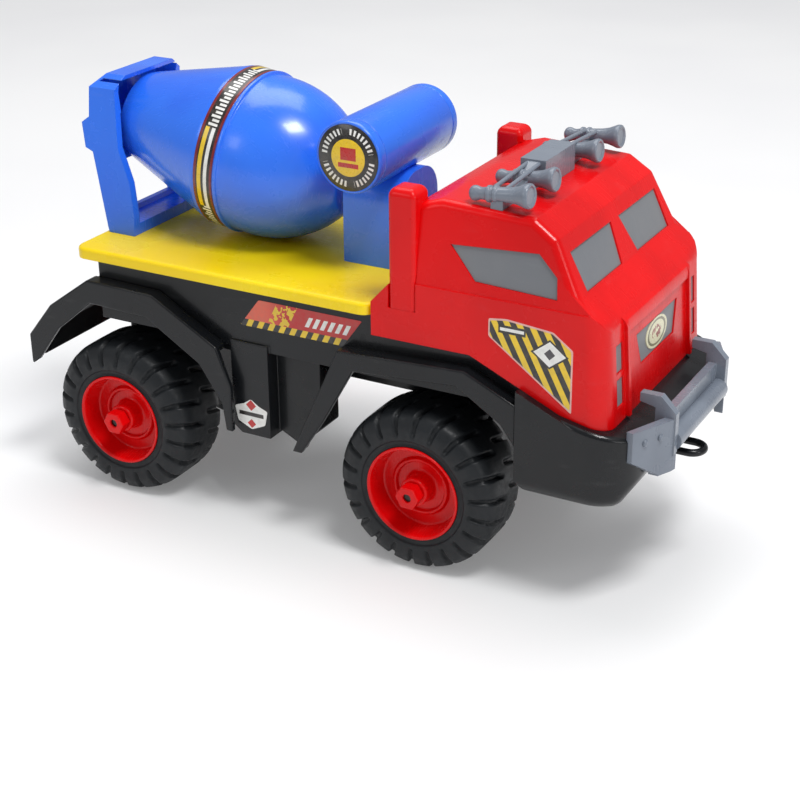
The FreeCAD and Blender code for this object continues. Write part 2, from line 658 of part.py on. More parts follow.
def cab_shell():
    """Red cab: one side outline, narrowed towards the roof, hollow inside."""
    body = new_body("CabBody")
    outline = [
        ("cab_rear", "cab_floor"), ("cab_rear", "cab_step"), ("cab_back", "cab_back_low"),
        ("cab_back", "cab_back_top"), ("roof_rear", "roof_rear_top"), ("roof_high", "roof_top"),
        ("roof_brow", "roof_brow_top"), ("screen_top", "screen_top_height"),
        ("screen_low", "screen_low_height"), ("bonnet_front", "bonnet_height"),
        ("nose_top", "nose_top_height"), ("nose_low", "nose_floor"),
        ("cab_bend", "cab_bend_floor"), ("cab_heel", "cab_floor"),
    ]
    pad(body, "CabBlock", "XZ_Plane", outline, "2 * cab_half", both_ways=True)
    wedges = []
    for name, side in SIDES:
        wedges.append([
            ("%d * (cab_half - belt_ledge)" % side, "belt_height"),
            ("%d * (roof_half - roof_margin * cab_lean)" % side, "roof_top + roof_margin"),
            ("%d * (cab_half + 5)" % side, "roof_top + roof_margin"),
            ("%d * (cab_half + 5)" % side, "belt_height"),
        ])
    pocket(body, "Tumblehome", "YZ_Plane", wedges, "through", both_ways=True)

    def upright_front(edge):
        box = edge.BoundBox
        tall = box.ZLength > 30
        return tall and box.XMax > size("nose_low") - 1 and abs(box.YMax) > 60

    def roof_side(edge):
        box = edge.BoundBox
        outer = min(abs(box.YMin), abs(box.YMax)) > 60
        high = box.ZMin > size("screen_low_height") - 3
        return outer and high and box.XLength > 4 and box.XMin > size("roof_rear") - 1

    def brow(edge):
        box = edge.BoundBox
        return box.YLength > 90 and box.XMax > size("roof_brow") - 5 and box.ZMin > 205

    round_edges(body, "CabCorners", "cab_corner", upright_front)
    round_edges(body, "RoofSides", "roof_round", roof_side)
    round_edges(body, "Brow", "brow_round", brow)
    for name, side in SIDES:
        ridge = [
            ("nose_low - 2", "nose_floor + 1"), ("nose_low + ridge_proud", "nose_floor + 1"),
            ("nose_top + ridge_proud", "nose_top_height - 2"),
            ("nose_top + ridge_proud - 1.5", "nose_top_height + 1"),
            ("bonnet_front", "bonnet_height - 2"), ("nose_top - 3", "nose_top_height - 4"),
        ]
        side_band(body, "LampRidge_" + name, ridge, "ridge_inner", "ridge_inner + ridge_width",
                  side)
    sill = [
        ("nose_top - 2", "nose_top_height - sill_drop"),
        ("nose_top + ridge_proud - 0.4", "nose_top_height - sill_drop + 1"),
        ("nose_top + ridge_proud - 0.4", "nose_top_height - 2"), ridge[3], ridge[4], ridge[5],
    ]
    pad(body, "NoseSill", "XZ_Plane", sill, "2 * ridge_inner + 1", both_ways=True)
    below = "nose_floor - 5"
    cabin = [
        ("cab_back + cab_wall", below), ("cab_back + cab_wall", "cab_back_top - 1"),
        ("roof_rear + cab_wall", "roof_rear_top - cab_wall"),
        ("roof_high + 1", "roof_top - cab_wall"), ("roof_brow", "roof_brow_top - cab_wall"),
        ("screen_top - cab_wall - 1", "screen_top_height - cab_wall"),
        ("screen_low - cab_wall - 2", "screen_low_height - cab_wall"),
        ("bonnet_front - cab_wall - 1", "bonnet_height - cab_wall"),
        ("nose_top - cab_wall - 1", "nose_top_height - cab_wall"),
        ("nose_low - cab_wall - 1", below),
    ]
    pocket(body, "Cabin", "XZ_Plane", [cabin], "2 * (roof_half - cab_wall)", both_ways=True)
    skirt = [
        ("cab_rear + cab_wall", below), ("cab_rear + cab_wall", "cab_step - 1"),
        ("cab_back + cab_wall", "cab_back_low - 2"), ("bonnet_front - cab_wall - 1",
                                                     "bonnet_height - cab_wall"),
        ("nose_top - cab_corner", "nose_top_height - cab_wall"), ("nose_low - cab_corner", below),
    ]
    pocket(body, "Skirt", "XZ_Plane", [skirt], "2 * (cab_half - cab_wall)", both_ways=True)
    posts = []
    bores = []
    for index, (along, across) in enumerate(CAB_SPOTS):
        foot = (along, across, "post_split")
        posts.append(rod("CabPost%d" % index, "z", foot, "post_radius",
                         "roof_brow_top - 1.5 - post_split"))
        bores.append(rod("CabPostBore%d" % index, "z", foot, "screw_shank",
                         "screw_length + tub_floor - post_split"))
    joined = fuse("CabWithPosts", [body] + posts)
    tools = fuse("CabCuts", bores + cab_inserts() + stacks())
    keep(cut("CabFinished", joined, tools), "cab_shell")


def stacks():
    """Square exhaust stacks on the cab's rear corners, rounded on top, and their recesses."""
    recesses = []
    for name, side in SIDES:
        body = new_body("Stack_" + name)
        low = ("stack_rear", "%d * stack_outer" % side)
        high = ("stack_rear + stack_size", "%d * (stack_outer - stack_size)" % side)
        pad(body, "Pipe", "XY_Plane", rectangle(low, high), "stack_top - stack_foot", "stack_foot")
        top = size("stack_top")
        round_edges(body, "PipeEdges", "cab_edge", lambda edge: runs_along(edge, 2))
        round_edges(body, "PipeTop", "stack_round - 1", lambda edge: edge.BoundBox.ZMin > top - 0.1)
        keep(body, "exhaust_stack_" + name)
        across = sorted(("%d * (stack_outer + 1)" % side, high[1]), key=size)
        recesses.append(block("StackRecess_" + name, (low[0], across[0], "stack_foot"),
                              (high[0], across[1], "stack_top + 1")))
    return recesses


def roof_horns():
    """Grey cross bar with a beacon block, and four trumpets lying along the truck."""
    rail = new_body("HornRail")
    arms = [("%d * (horn_outer_y + 3)" % side, up) for side, up in (
        (-1, "bar_seat + bar_height"), (-1, "bar_seat"), (1, "bar_seat"),
        (1, "bar_seat + bar_height"))]
    arms += [
        ("horn_inner_y + 5", "bar_seat + bar_height + 2"), ("beacon_half", "beacon_top - 1"),
        ("-beacon_half", "beacon_top - 1"), ("-horn_inner_y - 5", "bar_seat + bar_height + 2"),
    ]
    pad(rail, "Arms", "YZ_Plane", arms, "bar_depth", "bar_x - bar_depth / 2")
    beacon_low = ("bar_x - beacon_depth / 2", "-beacon_half", "bar_seat")
    beacon_high = ("bar_x + beacon_depth / 2", "beacon_half", "beacon_top")
    beacon = block("Beacon", beacon_low, beacon_high)
    rail_and_beacon = fuse("RailAndBeacon", [rail, beacon])
    horns = []
    stations = [
        "%d * %s" % (side, across) for across in ("horn_outer_y", "horn_inner_y") for _, side in SIDES
    ]
    for index, across in enumerate(stations):
        start = ("horn_rear", across, "horn_height")
        tube = rod("HornTube%d" % index, "x", start, "horn_tube", "horn_length - 1")
        collar = rod("HornCollar%d" % index, "x", ("horn_rear + 11", across, "horn_height"),
                     "horn_collar", "5")
        bell = cone("HornBell%d" % index, "x",
                    ("horn_rear + horn_length - horn_bell_length", across, "horn_height"),
                    "horn_tube", "horn_bell", "horn_bell_length - 2")
        mouth = rod("HornMouth%d" % index, "x",
                    ("horn_rear + horn_length - 2", across, "horn_height"), "horn_bell", "2")
        horn = fuse("Horn%d" % index, [tube, collar, bell, mouth])
        lift = FreeCAD.Rotation(V(0, 1, 0), -size("horn_lift"))
        pivot = V(size("horn_rear"), 0, size("horn_height"))
        horn.Placement = FreeCAD.Placement(V(), lift, pivot)
        horns.append(horn)
    all_horns = group("HornGroup", horns)
    roof = doc.getObject("CabFinished")
    rail_cut = cut("RailSeated", rail_and_beacon, fuse("RailTools", [roof, all_horns]))
    keep(rail_cut, "horn_rail")
    keep(all_horns, "air_horns")


# ---------------------------------------------------------------- bumper

def bumper():
    """Grey bumper: two upright plates, a cross beam, swept wings and a lower roll."""
    plates = []
    for name, side in SIDES:
        body = new_body("Plate_" + name)
        outline = [
            ("valance_front", "plate_low + 8"), ("plate_front - 4", "plate_low"),
            ("plate_front", "plate_low + 5"), ("plate_front", "plate_top - plate_bevel"),
            ("plate_front - plate_bevel", "plate_top"), ("plate_rear", "plate_top"),
            ("plate_rear", "plate_top - 5"), ("valance_front", "plate_top - 7"),
        ]
        side_band(body, "Upright_" + name, outline, "plate_inner", "plate_inner + plate_thick",
                  side)
        plates.append(body)
        wing = new_body("Wing_" + name)
        plan = [
            ("plate_front", "%d * (plate_inner + 1)" % side),
            ("plate_front - 1", "%d * (plate_inner + plate_thick)" % side),
            ("plate_front - wing_sweep", "%d * wing_outer" % side),
            ("plate_front - wing_sweep - wing_thick", "%d * (wing_outer - 1)" % side),
            ("plate_front - wing_thick - 1", "%d * (plate_inner + 1)" % side),
        ]
        pad(wing, "Blade_" + name, "XY_Plane", plan, "wing_top - wing_low + wing_drop",
            "wing_low - wing_drop")
        trim = [
            ("%d * (wing_outer + 2)" % side, "wing_low - wing_drop - 2"),
            ("%d * (wing_outer + 2)" % side, "wing_low + 6"),
            ("%d * (plate_inner + 14)" % side, "wing_low - wing_drop + 1"),
            ("%d * (plate_inner + 13)" % side, "wing_low - wing_drop - 2"),
        ]
        pocket(wing, "Trim_" + name, "YZ_Plane", [trim], "through", both_ways=True)
        plates.append(wing)
    low = ("beam_front - beam_thick", "-plate_inner - 1", "beam_low")
    high = ("beam_front", "plate_inner + 1", "beam_top")
    plates.append(block("Beam", low, high))
    for name, side in SIDES:
        low = ("valance_front", "%d * arm_across - arm_half" % side, "beam_low + 2")
        high = ("beam_front - 1", "%d * arm_across + arm_half" % side, "beam_top - 2")
        plates.append(block("BeamArm_" + name, low, high))
    joined = fuse("BumperJoined", plates)
    roll = rod("Roll", "y", ("roll_x", "-plate_inner", "roll_height"), "roll_radius",
               "2 * plate_inner")
    slot = fuse("BumperTools", [roll, doc.getObject("CabFinished"), doc.getObject("Valance")])
    keep(cut("BumperFinished", joined, slot), "front_bumper")
    keep(roll, "bumper_roll")
    studs = []
    lean = size("wing_sweep - 1") / size("wing_outer - plate_inner - plate_thick")
    for name, side in SIDES:
        for index, along in enumerate(("8", "18")):
            across = "plate_inner + plate_thick + %s" % along
            spot = ("plate_front - 1.6 - %s * %f" % (along, lean), "%d * (%s)" % (side, across),
                    "wing_top - 8")
            studs.append(rod("Stud_%s%d" % (name, index), "x", spot, "bolt_radius",
                             "bolt_head + 0.6"))
    stud_group = group("StudGroup", studs)
    keep(cut("StudsTrimmed", stud_group, doc.getObject("BumperFinished")), "bumper_studs")


# ---------------------------------------------------------------- wheels

def axle(label, along):
    keep(rod(label + "_rod", "y", (along, "-wheel_centre - tyre_width / 2 - axle_thread",
                                   "axle_height"),
             "axle_radius", "2 * wheel_centre + tyre_width + 2 * axle_thread"), label)


def wheel_nuts():
    """Hexagonal nuts screwed on the four axle ends, just clear of the hubs."""
    nuts = []
    for along in ("rear_axle_x", "front_axle_x"):
        for name, side in SIDES:
            face = "wheel_centre + tyre_width / 2 - hub_recess + nut_gap"
            start = face if side > 0 else "-(%s) - nut_length" % face
            hexagon = doc.addObject("Part::Prism", "Hexagon")
            hexagon.Polygon = 6
            bind(hexagon, "Circumradius", "nut_flats / sqrt(3)")
            bind(hexagon, "Height", "nut_length")
            place(hexagon, (along, start, "axle_height"), TURNS["y"])
            bore = rod("NutBore", "y", (along, start, "axle_height"), "nut_bore", "nut_length")
            nuts.append(cut("Nut", hexagon, bore))
    keep(group("NutGroup", nuts), "wheel_nuts")


def tyre(label, along, side):
    """Black tyre with rounded shoulders and slanted lugs round both shoulders."""
    body = new_body(label + "_body")
    half = "tyre_width / 2"
    bead = "tyre_width / 2 - 1.5 * tyre_wall"
    outline = [
        ("-(%s)" % half, "tyre_bore"), ("-(%s)" % bead, "tyre_bore"),
        ("tyre_wall - (%s)" % half, "tyre_bore + tyre_wall"),
        ("tyre_wall - (%s)" % half, "tyre_radius - 2 * tyre_shoulder"),
        ("tyre_wall - (%s) + tyre_shoulder" % half, "tyre_radius - lug_depth - tyre_wall"),
        ("%s - tyre_wall - tyre_shoulder" % half, "tyre_radius - lug_depth - tyre_wall"),
        ("%s - tyre_wall" % half, "tyre_radius - 2 * tyre_shoulder"),
        ("%s - tyre_wall" % half, "tyre_bore + tyre_wall"),
        (bead, "tyre_bore"), (half, "tyre_bore"),
        (half, "tyre_radius - tyre_shoulder"), ("%s - tyre_shoulder * 0.7" % half, "tyre_radius"),
        ("tyre_shoulder * 0.7 - (%s)" % half, "tyre_radius"),
        ("-(%s)" % half, "tyre_radius - tyre_shoulder"),
    ]
    revolve(body, "Carcass", outline, role="YZ_Plane")
    before = body.Shape.Volume
    for row, edge in (("Outer", 1), ("Inner", -1)):
        sketch = new_sketch(body, row + "LugGap_outline", "XY_Plane", "tyre_radius - lug_depth")
        slant = "lug_slant * %d" % edge
        draw_loop(sketch, [
            ("-lug_gap / 2", "%d * (tyre_width / 2 + 2)" % edge),
            ("lug_gap / 2", "%d * (tyre_width / 2 + 2)" % edge),
            ("lug_gap / 2 + %s" % slant, "%d * lug_root" % edge),
            ("%s - lug_gap / 2" % slant, "%d * lug_root" % edge),
        ])
        gap = feature(body, "Pocket", row + "LugGap", sketch, "tyre_shoulder + lug_depth",
                      backwards=True)
        pattern = body.newObject("PartDesign::PolarPattern", row + "Lugs")
        pattern.Originals = [gap]
        pattern.Axis = (body.Origin.OriginFeatures[1], [""])
        pattern.Angle = 360
        bind(pattern, "Occurrences", "lug_count")
        body.Tip = pattern
        doc.recompute()
    if body.Shape.Volume > before - 100:
        raise ValueError(label + " has no lugs")
    place(body, (along, "%d * wheel_centre" % side, "axle_height"))
    keep(body, label)


def rim(label, along, side):
    """Red dished rim: barrel, web, raised ring and a hub that turns on the axle."""
    body = new_body(label + "_body")
    out = "%d * " % side
    face = "tyre_width / 2"
    web = "tyre_width / 2 - rim_web_depth"
    bore = "axle_radius + axle_running_gap"
    outline = [
        (out + "(boss_reach + 0.3 - wheel_centre)", bore),
        (out + "(%s - hub_recess)" % face, bore),
        (out + "(%s - hub_recess)" % face, "hub_radius - 1"),
        (out + "(%s - hub_recess - 1)" % face, "hub_radius"),
        (out + "(%s)" % web, "hub_radius + 1"),
        (out + "(%s)" % web, "ring_inner"), (out + "(%s + ring_height)" % web, "ring_inner + 0.5"),
        (out + "(%s + ring_height)" % web, "ring_outer - 0.5"), (out + "(%s)" % web, "ring_outer"),
        (out + "(%s)" % web, "rim_barrel - 1"), (out + "(%s - 1)" % face, "rim_flange - 0.4"),
        (out + "(%s)" % face, "rim_flange"), (out + "(%s)" % face, "tyre_bore"),
        (out + "(-(%s))" % face, "tyre_bore"), (out + "(-(%s))" % face, "rim_barrel"),
        (out + "(%s - rim_web)" % web, "rim_barrel"), (out + "(%s - rim_web)" % web, "hub_radius"),
        (out + "(boss_reach + 0.3 - wheel_centre)", "hub_radius"),
    ]
    revolve(body, "Dish", outline, role="YZ_Plane")
    place(body, (along, "%d * wheel_centre" % side, "axle_height"))
    keep(body, label)


# ---------------------------------------------------------------- mixer

def drum_bowl(name, inset, belt, end):
    """The bowl's solid outline: belt, one large shoulder radius, and a cone to a flat end."""
    body = new_body(name)
    slope = "(drum_shoulder_radius - drum_front_radius) / (drum_front_end - drum_shoulder)"
    start = belt[0][0]
    shoulder = "drum_shoulder - (%s) * tan(drum_turn / 2)" % inset
    revolve(body, name + "_outline", [(start, "pin_radius")] + belt + [
        (shoulder, "drum_shoulder_radius - (%s)" % inset),
        (end, "drum_shoulder_radius - (%s) - (%s - (%s)) * %s" % (inset, end, shoulder, slope)),
        (end, "pin_radius"),
    ])
    corner = size(shoulder)

    def shoulder_ring(edge):
        box = edge.BoundBox
        round_ring = edge.Curve.TypeId == "Part::GeomCircle"
        return round_ring and abs(box.XMax - corner) < 0.1 and box.XLength < 0.1

    round_edges(body, name + "_shoulder", "drum_round - (%s)" % inset, shoulder_ring)
    body.Placement = drum_placement()
    return body


def drum():
    """Two blue shells joined at a belt, with a pivot pin in each end."""
    rear = new_body("DrumRear")
    slope = "(drum_belt_radius - drum_rear_radius) / (0 - drum_rear_end)"
    revolve(rear, "RearCone", [
        ("drum_rear_end", "pin_radius"), ("drum_rear_end", "drum_rear_radius"),
        ("0", "drum_belt_radius"), ("drum_belt_width", "drum_belt_radius"),
        ("drum_belt_width", "drum_belt_radius - shell_wall"),
        ("0", "drum_belt_radius - shell_wall"),
        ("drum_rear_end + 3 * shell_wall",
         "drum_rear_radius - shell_wall + 3 * shell_wall * %s" % slope),
        ("drum_rear_end + 3 * shell_wall", "pin_radius"),
    ])
    rear.Placement = drum_placement()
    keep(rear, "drum_rear_shell")
    bowl = drum_bowl("DrumFront", "0", [
        ("drum_belt_width", "drum_belt_radius + flange_height"),
        ("drum_belt_width + flange_width", "drum_belt_radius + flange_height"),
        ("drum_belt_width + flange_width", "drum_shoulder_radius"),
    ], "drum_front_end")
    core = drum_bowl("DrumCore", "shell_wall", [
        ("drum_belt_width - 1", "drum_shoulder_radius - shell_wall"),
    ], "drum_front_end - 2 * shell_wall")
    keep(cut("DrumFrontHollow", bowl, core), "drum_front_shell")
    band = new_body("DrumBand")
    revolve(band, "Strip", [
        ("0.5", "drum_belt_radius"), ("drum_belt_width - 0.5", "drum_belt_radius"),
        ("drum_belt_width - 0.5", "drum_belt_radius + band_thick"),
        ("0.5", "drum_belt_radius + band_thick"),
    ])
    band.Placement = drum_placement()
    keep(band, "drum_band")
    keep(drum_rod("RearPin", "rear_pin_end", "drum_rear_end + pin_root", "pin_radius"),
         "drum_rear_pin")
    keep(drum_rod("FrontPin", "drum_front_end - pin_root", "front_pin_end", "pin_radius"),
         "drum_front_pin")


def drum_frame():
    """Blue rear frame: leaning legs, back web with a portal, and a hood over the drum's neck."""
    body = new_body("FrameBody")
    outline = [
        ("frame_foot_rear", "deck_top"), ("frame_waist_rear", "frame_waist"),
        ("frame_waist_rear - frame_rib", "frame_waist + 2"),
        ("frame_head_rear - frame_rib", "frame_rib_top"), ("frame_head_rear", "frame_rib_top + 4"),
        ("frame_head_rear", "frame_head"), ("frame_crown_rear", "frame_crown"),
        ("frame_crown_front", "frame_crown"), ("frame_crown_front - 2", "frame_head - 2"),
        ("frame_throat", "frame_throat_height"), ("frame_knee", "frame_knee_height"),
        ("frame_foot_front", "deck_top + 12"), ("frame_foot_front", "deck_top"),
    ]
    pad(body, "Block", "XZ_Plane", outline, "2 * frame_half", both_ways=True)
    wedges = []
    for name, side in SIDES:
        wedges.append([
            ("%d * frame_half" % side, "deck_top + 3"),
            ("%d * frame_head_half" % side, "frame_crown - frame_bevel"),
            ("%d * (frame_head_half - 1.5 * frame_bevel)" % side, "frame_crown + 1"),
            ("%d * (frame_half + 3)" % side, "frame_crown + 1"),
            ("%d * (frame_half + 3)" % side, "deck_top + 3"),
        ])
    pocket(body, "LegTaper", "YZ_Plane", wedges, "through", both_ways=True)
    throat = [
        ("frame_foot_rear + frame_web - 1", "deck_top + frame_sill"),
        ("frame_waist_rear + frame_web", "frame_waist"),
        ("frame_head_rear + frame_web", "frame_rib_top"),
        ("frame_head_rear + frame_web", "frame_crown - frame_roof - 3"),
        ("frame_crown_rear", "frame_crown - frame_roof"),
        ("frame_crown_front + 20", "frame_crown - frame_roof"),
        ("frame_crown_front + 20", "deck_top + frame_sill"),
    ]
    pocket(body, "Throat", "XZ_Plane", [throat], "2 * (frame_head_half - frame_wall)",
           both_ways=True)
    for name, side in SIDES:
        leg_gap = [
            ("%d * (frame_half - frame_wall - 2)" % side, "deck_top + frame_sill"),
            ("%d * (frame_head_half - frame_wall + 1)" % side, "frame_throat_height + 20"),
            ("%d * (frame_head_half - frame_wall - 1)" % side, "frame_throat_height + 20"),
            ("%d * (frame_head_half - frame_wall - 1)" % side, "deck_top + frame_sill"),
        ]
        pocket(body, "LegGap_" + name, "YZ_Plane", [leg_gap], "frame_web + 35",
               "frame_waist_rear + frame_web + 1", backwards=True)
    portal = [
        ("-portal_half", "portal_low"), ("portal_half", "portal_low"),
        ("portal_half", "portal_high - 6"), ("portal_half - 6", "portal_high"),
        ("6 - portal_half", "portal_high"), ("-portal_half", "portal_high - 6"),
    ]
    pocket(body, "Portal", "YZ_Plane", [portal], "through", both_ways=True)
    boss = drum_rod("RearBoss", "rear_pin_end - 1", "drum_rear_end - 3.5", "2 * pin_radius")
    joined = fuse("FrameWithBoss", [body, boss])
    bores = [drum_rod("RearBore", "rear_pin_end - 0.5", "0", "pin_radius + pin_gap")]
    bores += mixer_holes(MIXER_SPOTS[:2], "FrameHole")
    keep(cut("FrameDrilled", joined, fuse("FrameTools", bores)), "drum_frame")


def mixer_holes(spots, name):
    return [
        rod("%s%d" % (name, index), "z", (along, across, "deck_top - 1"), "screw_shank",
            "short_screw - deck_thick + 1")
        for index, (along, across) in enumerate(spots)
    ]


def pedestal():
    """Blue front pedestal with round shoulders, bored for the drum's front pin."""
    body = new_body("PedestalBody")
    outline = rectangle(("-pedestal_half", "deck_top"), ("pedestal_half", "pedestal_top"))
    pad(body, "Wall", "YZ_Plane", outline, "pedestal_front - pedestal_rear", "pedestal_rear")
    top = size("pedestal_top")

    def shoulder(edge):
        return runs_along(edge, 0) and edge.BoundBox.ZMin > top - 0.1

    round_edges(body, "Shoulders", "pedestal_round", shoulder)
    bores = [
        drum_rod("FrontBore", "0", "front_pin_end + 0.5", "pin_radius + pin_gap"),
        rod("TankSeat", "y", ("tank_x", "-tank_half", "tank_height"), "tank_radius",
            "2 * tank_half"),
    ]
    bores += mixer_holes(MIXER_SPOTS[2:], "PedestalHole")
    hollow = block("PedestalHollow",
                   ("pedestal_rear + 14", "pedestal_wall - pedestal_half", "deck_top"),
                   ("pedestal_front - pedestal_wall", "pedestal_half - pedestal_wall",
                    "tank_height - tank_radius - 16"))
    bores.append(hollow)
    keep(cut("PedestalDrilled", body, fuse("PedestalTools", bores)), "drum_pedestal")


def water_tank():
    """Transverse tank: a tube closed by two caps with rounded rims."""
    start = ("tank_x", "cap_length - tank_half", "tank_height")
    tube = rod("TankTube", "y", start, "tank_radius", "2 * (tank_half - cap_length)")
    hollow = rod("TankHollow", "y", start, "tank_radius - tank_wall",
                 "2 * (tank_half - cap_length)")
    keep(cut("TankShell", tube, hollow), "water_tank")
    for name, side in SIDES:
        body = new_body("Cap_" + name)
        inner = "%d * (tank_half - cap_length)" % side
        outer = "%d * tank_half" % side
        revolve(body, "CapDisc_" + name, [
            (inner, "0"), (inner, "tank_radius"),
            ("%d * (tank_half - cap_round)" % side, "tank_radius"),
            ("%d * (tank_half - cap_round * 0.3)" % side, "tank_radius - cap_round * 0.3"),
            (outer, "tank_radius - cap_round"), (outer, "0"),
        ], role="YZ_Plane")
        place(body, ("tank_x", "0", "tank_height"))
        keep(body, "tank_cap_" + name)


# ---------------------------------------------------------------- screws

def screws(label, spots, low, length):
    """Self-tapping screws standing head down at the same height."""
    made = []
    for index, (along, across) in enumerate(spots):
        head = rod("%s_head%d" % (label, index), "z", (along, across, low), "screw_head",
                   "screw_head_height")
        shank = rod("%s_shank%d" % (label, index), "z", (along, across, low), "screw_shank", length)
        made.append(fuse("%s_screw%d" % (label, index), [head, shank]))
    keep(group(label + "_group", made), label)


def build():
    chassis_tub()
    for name, side in SIDES:
        rear_mudguard(name, side)
        front_mudguard(name, side)
    rear_apron()
    front_valance()
    tow_hook()
    deck()
    cab_shell()
    roof_horns()
    bumper()
    axle("rear_axle", "rear_axle_x")
    axle("front_axle", "front_axle_x")
    wheel_nuts()
    for end, along in (("rear", "rear_axle_x"), ("front", "front_axle_x")):
        for name, side in SIDES:
            tyre("tyre_%s_%s" % (end, name), along, side)
            rim("rim_%s_%s" % (end, name), along, side)
    drum()
    drum_frame()
    pedestal()
    water_tank()
    screws("deck_screws", POST_SPOTS, "tub_floor", "screw_length")
    screws("cab_screws", CAB_SPOTS, "tub_floor", "screw_length")
    screws("mixer_screws", MIXER_SPOTS, "deck_top - deck_thick - screw_head_height",
           "short_screw")


def check_and_write():
    doc.recompute()
    for thing in doc.Objects:
        bad = [state for state in thing.State if state in ("Invalid", "Error")]
        if bad:
            raise ValueError("%s is %s" % (thing.Label, bad))
    os.makedirs("parts", exist_ok=True)
    for piece in nodes:
        if piece.Shape.isNull() or not piece.Shape.isValid():
            raise ValueError(piece.Label + " has no valid shape")
        piece.Shape.exportStep("parts/%s.step" % piece.Label)
        print("%-24s solids %d volume %9.1f" % (piece.Label, len(piece.Shape.Solids),
                                               piece.Shape.Volume))


build()
check_and_write()
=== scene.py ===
"""Looks of the toy cement mixer truck: moulded plastic pieces and labels round the CAD frame."""
import json
import math

import bmesh
import bpy
from mathutils import Matrix, Vector


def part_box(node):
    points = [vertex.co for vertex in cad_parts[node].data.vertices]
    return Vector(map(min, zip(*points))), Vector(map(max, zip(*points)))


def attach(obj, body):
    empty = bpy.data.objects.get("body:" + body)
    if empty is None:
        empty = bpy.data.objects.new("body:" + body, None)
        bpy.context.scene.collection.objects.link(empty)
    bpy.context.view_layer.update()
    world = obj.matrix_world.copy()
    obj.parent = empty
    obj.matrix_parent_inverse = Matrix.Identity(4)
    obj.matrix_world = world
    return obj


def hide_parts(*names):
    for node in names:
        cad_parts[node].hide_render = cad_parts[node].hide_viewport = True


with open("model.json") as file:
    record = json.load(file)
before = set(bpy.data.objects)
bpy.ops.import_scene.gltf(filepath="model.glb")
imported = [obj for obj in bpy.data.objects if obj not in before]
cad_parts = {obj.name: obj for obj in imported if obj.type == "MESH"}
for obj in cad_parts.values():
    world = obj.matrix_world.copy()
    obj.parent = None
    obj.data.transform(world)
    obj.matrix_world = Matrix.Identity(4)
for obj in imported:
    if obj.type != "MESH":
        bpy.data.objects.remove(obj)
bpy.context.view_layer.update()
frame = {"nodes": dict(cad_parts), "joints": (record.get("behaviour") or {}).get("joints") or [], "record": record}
MM = 0.001

RECORD = frame["record"]
BODY_OF = {
    node: body for body, nodes in RECORD["behaviour"]["bodies"].items() for node in nodes
}
SLOT_OF = {part["node"]: part["material_slot"] for part in RECORD["subparts"]}
SIDES = (("right", -1), ("left", 1))
AXLES = ("rear", "front")


# ------------------------------------------------------------------ node graphs

MIX_FACTOR, MIX_FIRST, MIX_SECOND, MIX_RESULT = 0, 6, 7, 2
EDGE_SAMPLES = 4


